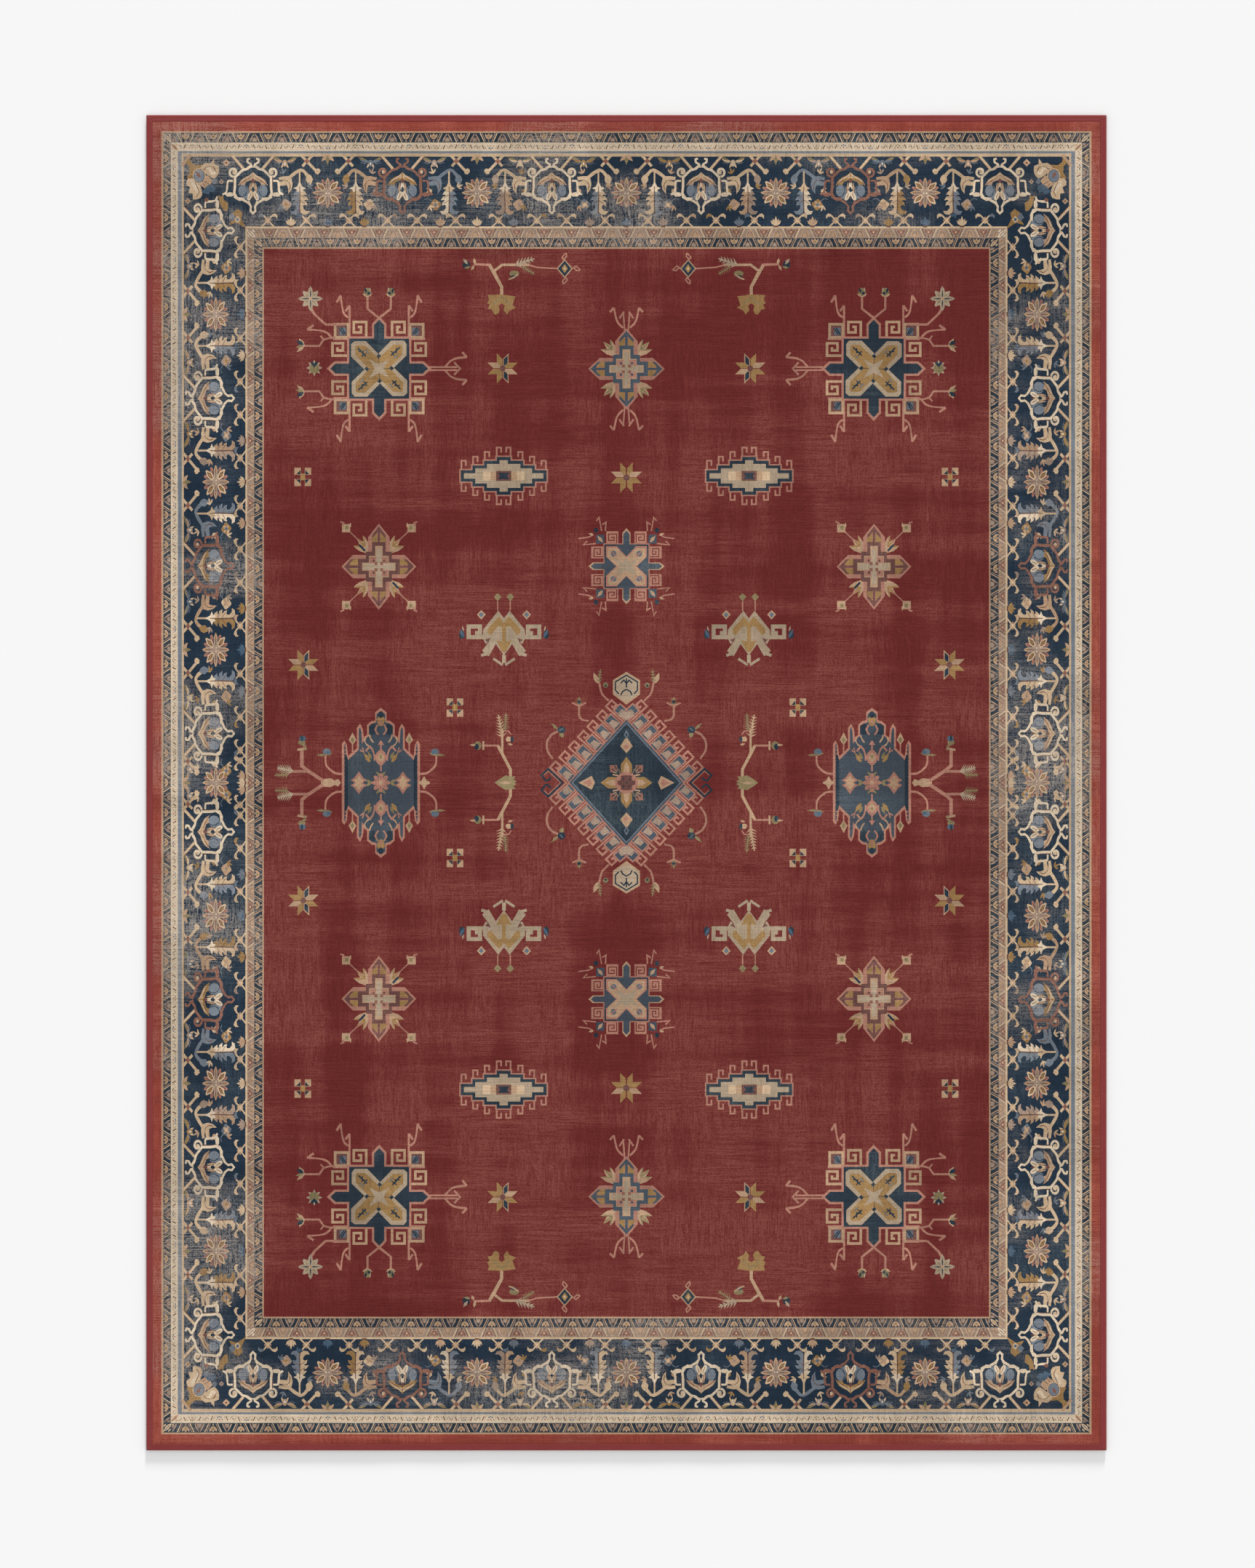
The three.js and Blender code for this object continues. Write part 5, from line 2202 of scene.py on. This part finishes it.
@dataclass
class StitchRow:
    """Stitches as small closed spindles, each a few dozen faces.

    The last four measures are shares of the height.

    Attributes:
        length: the length of a stitch in millimetres.
        width: its width.
        height: how far it stands above the cloth.
        sides: how many sides a spindle has.
        rings: where its rings are, from -1 at one tip to 1 at the other.
        tip: its girth at both tips, as a share of the fullest.
        thickness: half its thickness.
        bow: how far its middle line rises from the tips to the middle.
        sunk: how deep its tips dip into the cloth.
        top: the level that no point rises above.
    """

    length: float = 3.1
    width: float = 0.62
    height: float = 0.25
    sides: int = 6
    rings: tuple[float, ...] = (-1.0, -0.82, -0.35, 0.35, 0.82, 1.0)
    tip: float = 0.12
    thickness: float = 0.62
    bow: float = 0.72
    sunk: float = 0.34
    top: float = 0.98

    def shape(self, centres: np.ndarray, headings: np.ndarray, levels: np.ndarray, upward: float
              ) -> tuple[np.ndarray, np.ndarray]:
        """Lays a spindle at each centre.

        A spindle's girth follows the square root of 1.02 - t squared, with t from -1 to 1 along it.
        Its middle line bows up from the cloth as 1 - t squared, so that both ends dip into it.

        Args:
            centres: where the stitches are, as (n, 2).
            headings: their unit directions, as (n, 2).
            levels: the height of the cloth under each.
            upward: 1 on top of the cloth and -1 underneath.

        Returns:
            The points and the quads.
        """
        t = np.array(self.rings)
        girth = np.sqrt(np.clip(1.02 - t ** 2, 0, 1))
        girth[[0, -1]] = self.tip
        turn = np.linspace(0, 2 * math.pi, self.sides, endpoint=False)
        thick = self.height * self.thickness
        side = np.cos(turn)[None, :] * girth[:, None] * self.width / 2
        bow = (self.bow * (1 - t ** 2) - self.sunk) * self.height
        lift = bow[:, None] + np.sin(turn)[None, :] * girth[:, None] * thick
        lift = np.minimum(lift, self.height * self.top)
        across = np.stack([-headings[:, 1], headings[:, 0]], axis=1)
        run = (t * self.length / 2)[None, :, None, None] * headings[:, None, None, :]
        flat = centres[:, None, None, :] + run + side[None, :, :, None] * across[:, None, None, :]
        z = levels[:, None, None] + upward * lift[None]
        points = np.concatenate([flat, z[..., None]], axis=-1)
        size = len(t) * self.sides
        i = np.arange(self.sides // 2 - 1)
        cap = np.stack([i, i + 1, self.sides - 2 - i, self.sides - 1 - i], axis=1)
        quads = np.vstack([tube_faces(len(t), self.sides), cap[:, ::-1], cap + size - self.sides])
        one = turned_out(points[0].reshape(-1, 3), quads)
        return points.reshape(-1, 3), repeated(one, len(centres), size)


@dataclass
class TapedEdge:
    """One edge's binding: a tape folded over the cloth, and its two rows of stitches.

    Attributes:
        side: which edge.
        lie: how the cover lies.
        width: how far the tape reaches in from the edge.
        cloth: the tape's own thickness.
        stitch_inset: where the seam runs.
        stitch_pitch: the distance from a stitch to the next.
        pitch: the spacing of the sections along the tape.
        bend: the radius of the fold.
        gap: the clearance at each mitre.
        dip: how far the tape sinks at its mitres.
        dip_reach: how far in from the mitre it does.
        ease: how far the hand-guided cloth rises and falls along the edge.
    """

    side: Side
    lie: Lie
    width: float = 10.0
    cloth: float = 0.46
    stitch_inset: float = 7.5
    stitch_pitch: float = 3.9
    pitch: float = 14.0
    bend: float = 1.5
    gap: float = 0.04
    dip: float = 0.14
    dip_reach: float = 3.0
    ease: float = 0.05

    @property
    def half(self) -> np.ndarray:
        """Half the cover's width and length."""
        return np.array([self.lie.half_width, self.lie.half_length])

    @property
    def reach(self) -> float:
        """Half the length of this edge."""
        return float(abs(np.array(self.side.value[::-1]) @ self.half))

    def section(self, low: float, high: float) -> tuple[np.ndarray, np.ndarray]:
        """The tape's section: a U with a rounded fold, dimpled where the seam pulls it in.

        The outer skin runs in from the upper rim, round the fold and back along the underside. The
        inner skin is the outer one moved in by the cloth's thickness along its normals.

        Args:
            low: the height of its underside.
            high: the height of its top.

        Returns:
            The outer and the inner skin as (inset, height) rows.
        """
        turn = np.radians(np.linspace(90, -90, 9))
        fold = np.stack([self.bend * (1 - np.cos(turn)), np.sin(turn)], axis=1)
        straight = (high - low) / 2 - self.bend
        fold[:, 1] = (low + high) / 2 + np.sign(fold[:, 1]) * straight + fold[:, 1] * self.bend
        inset_and_sink = ((self.width, 0.36), (self.width - 0.15, 0.1), (self.width - 0.7, 0.02),
                          (8.5, 0.05), (self.stitch_inset, 0.16), (6.5, 0.05), (4.8, 0.0), (3.0, 0.0))
        flat, sink = np.array(inset_and_sink).T
        upper = np.stack([flat, high - sink], axis=1)
        lower = np.stack([flat, low + sink], axis=1)[::-1]
        outer = np.vstack([upper, fold, lower])
        ahead = np.gradient(outer, axis=0)
        ahead /= np.linalg.norm(ahead, axis=1)[:, None]
        normal = np.stack([-ahead[:, 1], ahead[:, 0]], axis=1)
        if normal[0, 1] > 0:
            normal = -normal
        inner = outer + normal * self.cloth
        inner[[0, -1], 0] = self.width
        inner[0, 1] = high - self.cloth
        inner[-1, 1] = low + self.cloth
        return outer, inner

    def build_tape(self, material: bpy.types.Material) -> bpy.types.Object:
        """Sweeps the section along the edge, with mitred ends.

        Each section point runs along the edge from one mitre to the other, so its reach is half the
        edge less its own inset.

        Args:
            material: the tape's finish.

        Returns:
            The tape.
        """
        node = f"edge_tape_{self.side.word}"
        box = Box.of(node)
        outer, inner = self.section(float(box.low[2]), float(box.high[2]))
        loop = np.vstack([outer, inner[::-1]])
        share = stations(self.reach, self.pitch, (1.5, 4.0, 9.0)) / self.reach
        reach = self.reach - loop[None, :, 0] - self.gap
        t = share[:, None] * reach
        inset = np.broadcast_to(loop[None, :, 0], t.shape)
        x, y = along_edge(self.side, self.half, inset, t)
        seam = self.dip * smooth(self.dip_reach, 0.0, self.reach - inset - np.abs(t))
        ease = self.ease * np.sin(share * self.reach / 17.0)[:, None]
        centre = float(box.low[2] + box.high[2]) / 2
        z = loop[None, :, 1] + self.lie.rise(x, y) + ease - seam * np.sign(loop[None, :, 1] - centre)
        points = np.stack([x, y, z], axis=-1).reshape(-1, 3)
        size = len(loop)
        skin = np.arange(len(outer) - 1)
        cap = np.stack([skin, skin + 1, size - 2 - skin, size - 1 - skin], axis=1)
        faces = np.vstack([tube_faces(len(share), size), cap[:, ::-1], cap + (len(share) - 1) * size])
        run = np.linalg.norm(np.roll(loop, -1, axis=0) - loop, axis=1)
        girth = np.concatenate([[0], np.cumsum(run)]) / run.sum()
        u, v = share * 0.49 + 0.5, girth * 0.98 + 0.01
        whole = np.stack(np.meshgrid(u, v, indexing="ij"), axis=-1)
        sides = np.stack([whole[:-1, :-1], whole[:-1, 1:], whole[1:, 1:], whole[1:, :-1]], axis=2)
        flat_map = np.concatenate([sides.reshape(-1, 2), whole[0][cap[:, ::-1]].reshape(-1, 2),
                                   whole[-1][cap].reshape(-1, 2)])
        piece = put_mesh(f"binding_{self.side.word}", points, faces, material, flat_map)
        return hold(piece, Body.COVER, "edge_tape", node)

    def build_seam(self, word: str, material: bpy.types.Material) -> bpy.types.Object:
        """Builds one row of stitches.

        Args:
            word: needle for the row on top, or bobbin for the one underneath.
            material: the thread's finish.

        Returns:
            The row.
        """
        node = f"{word}_thread_{self.side.word}"
        box = Box.of(node)
        run = self.reach - self.stitch_inset - CORNER_FREE
        count = int(2 * run / self.stitch_pitch)
        t = (np.arange(count) - (count - 1) / 2) * (2 * run / count)
        if word == "bobbin":
            t = t[:-1] + run / count
        x, y = along_edge(self.side, self.half, np.full(len(t), self.stitch_inset), t)
        upward = 1.0 if word == "needle" else -1.0
        level = box.low[2] if word == "needle" else box.high[2]
        levels = level - upward * SEAM_SINK + self.lie.rise(x, y)
        ahead = np.array(along_edge(self.side, self.half * 0, np.zeros(1), np.ones(1))).ravel()
        headings = np.tile(ahead, (len(t), 1))
        row = StitchRow(height=box.height)
        points, faces = row.shape(np.stack([x, y], axis=1), headings, levels, upward)
        piece = put_mesh(f"{word}_seam_{self.side.word}", points, faces, material)
        return hold(piece, Body.COVER, "thread", node)


@dataclass
class CornerTacks:
    """The bar tacks that close the mitred corners.

    Attributes:
        lie: how the cover lies.
        bars: how many stitches a tack has.
        length: the length of each.
        fill: how much of the node's diagonal the tack takes up.
        sink: how deep it is pulled into the tape.
    """

    lie: Lie
    bars: int = 7
    length: float = 2.2
    fill: float = 0.8
    sink: float = 0.08

    def build(self, node: str, material: bpy.types.Material) -> bpy.types.Object:
        """Builds one tack: short satin stitches laid side by side across the mitre.

        Args:
            node: the CAD node that it stands for.
            material: the thread's finish.

        Returns:
            The tack.
        """
        box = Box.of(node)
        low, high = box.low[:2], box.high[:2]
        middle = (low + high) / 2
        outward = np.sign(middle) / math.sqrt(2)
        reach = float(np.min(high - low)) * 0.5 * math.sqrt(2) * self.fill
        steps = np.linspace(-reach, reach, self.bars)
        centres = middle + steps[:, None] * outward
        headings = np.tile([-outward[1], outward[0]], (self.bars, 1))
        levels = box.low[2] - self.sink + self.lie.rise(centres[:, 0], centres[:, 1])
        width = 2.2 * reach / self.bars
        row = StitchRow(length=self.length, width=width, height=box.height)
        points, faces = row.shape(centres, headings, levels, 1.0)
        return hold(put_mesh(f"{node}_stitches", points, faces, material), Body.COVER, "thread", node)


@dataclass
class CareLabel:
    """The blank care label under one corner of the cover, sewn on at one end.

    Attributes:
        lie: how the cover lies.
        curl: how far the free end hangs down.
        clearance: how far above the node's underside the ribbon lies where it is sewn on.
        ribbon: the ribbon's thickness.
        stitches: how many stitches hold it.
    """

    lie: Lie
    curl: float = 0.16
    clearance: float = 0.06
    ribbon: float = 0.17
    stitches: int = 8

    def build(self, material: bpy.types.Material) -> bpy.types.Object:
        """Builds the ribbon: flat at its sewn end, with a shallow wave and a curled free end.

        Args:
            material: its finish.

        Returns:
            The ribbon.
        """
        box = Box.of("care_label")
        thread = Box.of("label_thread")
        sewn_low = thread.low[1] + thread.high[1] < box.low[1] + box.high[1]
        xs = np.linspace(box.low[0], box.high[0], 13)
        ys = np.linspace(box.low[1], box.high[1], 21)
        x, y = np.meshgrid(xs, ys)
        free = (y - box.low[1]) / (box.high[1] - box.low[1])
        free = free if sewn_low else 1 - free
        sag = self.curl * free * (1 + 0.4 * np.sin(x / 4.1 + 1) * free)
        bottom = box.low[2] + self.clearance + self.lie.rise(x, y) - sag
        points, quads = layer_mesh(xs, ys, bottom, bottom + self.ribbon, 0.05)
        piece = put_mesh("care_label_ribbon", points, quads, material, 0.5)
        return hold(piece, Body.COVER, "care_label", "care_label")

    def build_thread(self, material: bpy.types.Material) -> bpy.types.Object:
        """Builds the short row of stitches that holds the label.

        Args:
            material: its finish.

        Returns:
            The row.
        """
        box = Box.of("label_thread")
        x = np.linspace(box.low[0] + 2, box.high[0] - 2, self.stitches)
        y = np.full(self.stitches, (box.low[1] + box.high[1]) / 2)
        headings = np.tile([1.0, 0.0], (self.stitches, 1))
        levels = box.high[2] + SEAM_SINK + self.lie.rise(x, y)
        row = StitchRow(length=2.9, width=0.5, height=box.height)
        points, faces = row.shape(np.stack([x, y], axis=1), headings, levels, -1.0)
        return hold(put_mesh("label_seam", points, faces, material), Body.COVER, "thread", "label_thread")


@dataclass
class NonSlipPad:
    """The pad: needled felt on a rubber base whose underside is studded with small dots.

    Attributes:
        pitch: the spacing of the felt's grid lines in millimetres.
        skin: how much of the base is solid rubber above the dots.
        dot_pitch: the distance from a dot to the next.
        dot_radius: a dot's radius where it joins the base.
        dot_foot: its radius on the floor, as a share of that.
        dot_sides: how many sides it has.
        dot_root: how deep it reaches into the skin.
        slack: how far the felt's top stays under the node's on average.
        bumps: how far it rises and falls.
        rim: how far it sinks at the rim, and how far the rim is drawn in.
    """

    pitch: float = 40.0
    skin: float = 0.55
    dot_pitch: float = 25.0
    dot_radius: float = 4.2
    dot_foot: float = 0.74
    dot_sides: int = 8
    dot_root: float = 0.1
    slack: float = 0.06
    bumps: float = 0.05
    rim: float = 0.3

    def build_felt(self, material: bpy.types.Material) -> bpy.types.Object:
        """Builds the felt: a closed layer with soft rims and a faintly uneven top.

        Args:
            material: its finish.

        Returns:
            The felt.
        """
        box = Box.of("pad_felt")
        xs = stations(float(box.high[0]), self.pitch, (1.0, 4.0))
        ys = stations(float(box.high[1]), self.pitch, (1.0, 4.0))
        x, y = np.meshgrid(xs, ys)
        inset = np.minimum(box.high[0] - np.abs(x), box.high[1] - np.abs(y))
        top = (box.high[2] - self.slack - self.bumps * np.sin(x / 31 + 1) * np.sin(y / 37)
               - self.rim * (1 - smooth(0, 4, inset)))
        points, quads = layer_mesh(xs, ys, np.full(x.shape, box.low[2]), top, self.rim)
        piece = put_mesh("felt_layer", points, quads, material, 0.5)
        return hold(piece, Body.PAD, "pad_felt", "pad_felt")

    def build_base(self, material: bpy.types.Material) -> bpy.types.Object:
        """Builds the rubber base: a skin with a field of round dots that stand on the floor.

        The dots' centres form rows a row height apart, with every other row moved by half a pitch. A
        dot is a ring on the skin joined to a smaller ring on the floor, which is filled.

        Args:
            material: its finish.

        Returns:
            The base.
        """
        box = Box.of("pad_grip_base")
        top, floor = float(box.high[2]), float(box.low[2])
        under = top - self.skin
        xs = stations(float(box.high[0]), self.pitch, ())
        ys = stations(float(box.high[1]), self.pitch, ())
        shape = (len(ys), len(xs))
        points, quads = layer_mesh(xs, ys, np.full(shape, under), np.full(shape, top), 0.15)
        height = self.dot_pitch * math.sqrt(3) / 2
        rows = np.arange(-int(box.high[1] / height) + 1, int(box.high[1] / height))
        columns = np.arange(-int(box.high[0] / self.dot_pitch) + 1, int(box.high[0] / self.dot_pitch))
        column, row = np.meshgrid(columns, rows)
        centres = np.stack([(column + 0.5 * (row % 2)) * self.dot_pitch, row * height], axis=-1)
        centres = centres.reshape(-1, 1, 1, 2)
        turn = np.radians(np.arange(self.dot_sides) * 360.0 / self.dot_sides)
        circle = np.stack([np.cos(turn), np.sin(turn)], axis=1)
        radii = self.dot_radius * np.array([1.0, self.dot_foot])[:, None, None]
        flat = centres + radii[None] * circle[None, None]
        z = np.broadcast_to(np.array([under + self.dot_root, floor])[None, :, None], flat.shape[:3])
        dots = np.concatenate([flat, z[..., None]], axis=-1)
        lid = np.array([[0, 1, 2, 3], [0, 3, 4, 7], [4, 5, 6, 7]])
        wall = tube_faces(2, self.dot_sides)[:, [0, 3, 2, 1]]
        one = turned_out(dots[0].reshape(-1, 3), np.vstack([wall, lid, lid[:, ::-1] + self.dot_sides]))
        faces = np.vstack([quads, repeated(one, len(dots), 2 * self.dot_sides) + len(points)])
        points = np.vstack([points, dots.reshape(-1, 3)])
        piece = put_mesh("grip_base", points, faces, material, 0.5)
        return hold(piece, Body.PAD, "grip_rubber", "pad_grip_base")


# The studio

@dataclass
class Studio:
    """A plain pale floor, soft even light with one low soft lamp, and the camera straight above.

    Attributes:
        view_height: how much of the floor the frame's long side covers, in metres.
        lens: the camera's focal length in millimetres.
        sky: the brightness of the even light.
        lamp: the strength of the low lamp.
        lamp_angle: how high above the floor it stands, in degrees.
        lamp_spread: the width of its disc, which softens the shadow, in degrees.
        lamp_turn: how far it is turned about the upright axis, in degrees.
        centre: where the camera stands on the floor's plane, in metres.
        floor_tone: how pale the floor is.
        floor_half: half its width in metres.
    """

    view_height: float = 2.491
    lens: float = 100.0
    sky: float = 0.78
    lamp: float = 3.35
    lamp_angle: float = 12.0
    lamp_spread: float = 9.0
    lamp_turn: float = -6.0
    centre: Point = (0.0017, -0.002)
    floor_tone: float = 0.93
    floor_half: float = 30.0

    def build(self) -> None:
        """Makes the floor, the lights and the camera."""
        scene = bpy.context.scene
        scene.view_settings.view_transform = "Standard"
        world = bpy.data.worlds.new("studio")
        world.use_nodes = True
        sky = world.node_tree.nodes["Background"]
        sky.inputs["Color"].default_value = (1, 1, 1, 1)
        sky.inputs["Strength"].default_value = self.sky
        scene.world = world

        recipe = Recipe("pale_floor", 0.95, 0.0)
        recipe.shader.inputs["Base Color"].default_value = (*[self.floor_tone] * 3, 1)
        half = self.floor_half
        corners = np.array([(-half, -half, 0), (half, -half, 0), (half, half, 0), (-half, half, 0)])
        floor = put_mesh("floor", corners / MM, np.array([[0, 1, 2, 3]]), recipe.material)

        lamp = bpy.data.lights.new("low_lamp", "SUN")
        lamp.energy = self.lamp
        lamp.angle = math.radians(self.lamp_spread)
        holder = bpy.data.objects.new("low_lamp", lamp)
        holder.rotation_euler = (math.radians(self.lamp_angle - 90), 0, math.radians(self.lamp_turn))
        scene.collection.objects.link(holder)

        camera = bpy.data.cameras.new("camera")
        camera.lens = self.lens
        camera.clip_end = 200.0
        camera_holder = bpy.data.objects.new("camera", camera)
        camera_holder.location = (*self.centre, self.view_height * self.lens / camera.sensor_width)
        scene.collection.objects.link(camera_holder)
        scene.camera = camera_holder


# Main

FOLDED_HEIGHT = 3.75    # the tape's height over its fold


def build_cover(lie: Lie) -> None:
    """Builds the cover's cloth, its binding and its seams.

    Args:
        lie: how the cover lies.
    """
    cloth = CoverCloth(lie)
    thread = SewingThread().material()
    tape = WovenTape().material()
    backing = cloth.build_under("loop_backing", "loop_layer", LoopKnit().material())
    film = cloth.build_under("barrier_film", "film_layer", BarrierFilm().material())
    face = cloth.build_face(PrintedPile())
    for side in Side:
        edge = TapedEdge(side, lie)
        strip = edge.build_tape(tape)
        rows = [edge.build_seam(word, thread) for word in ("needle", "bobbin")]
        outer, _ = edge.section(0.0, FOLDED_HEIGHT)
        developed = float(np.linalg.norm(np.diff(outer, axis=0), axis=1).sum()) * MM
    tacks = CornerTacks(lie)
    for end in ("near", "far"):
        for hand in ("left", "right"):
            tacks.build(f"corner_tack_{end}_{hand}", thread)
    label = CareLabel(lie)
    satin = MottledCloth("label_satin", (214, 210, 200), (240, 237, 230), 0.4, 2.0, 0.05)
    ribbon_piece = label.build(satin.material())
    stitches = label.build_thread(thread)


def build_pad() -> None:
    pad = NonSlipPad()
    base = pad.build_base(GripRubber().material())
    felt_finish = MottledCloth("needled_felt", (112, 109, 104), (158, 154, 147), 1.1, 4.5, 0.4)
    felt = pad.build_felt(felt_finish.material())
    box = Box.of("pad_felt")


def main() -> None:
    """Builds the pad, the cover and the studio."""
    logging.basicConfig(level=logging.INFO, format="%(name)s: %(message)s")
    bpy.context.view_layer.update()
    whole = [Box.of(f"edge_tape_{s.word}") for s in Side]
    high = np.max([b.high for b in whole], axis=0)
    build_pad()
    build_cover(Lie(float(high[0]), float(high[1])))
    Studio().build()


if __name__ == "__main__":
    main()
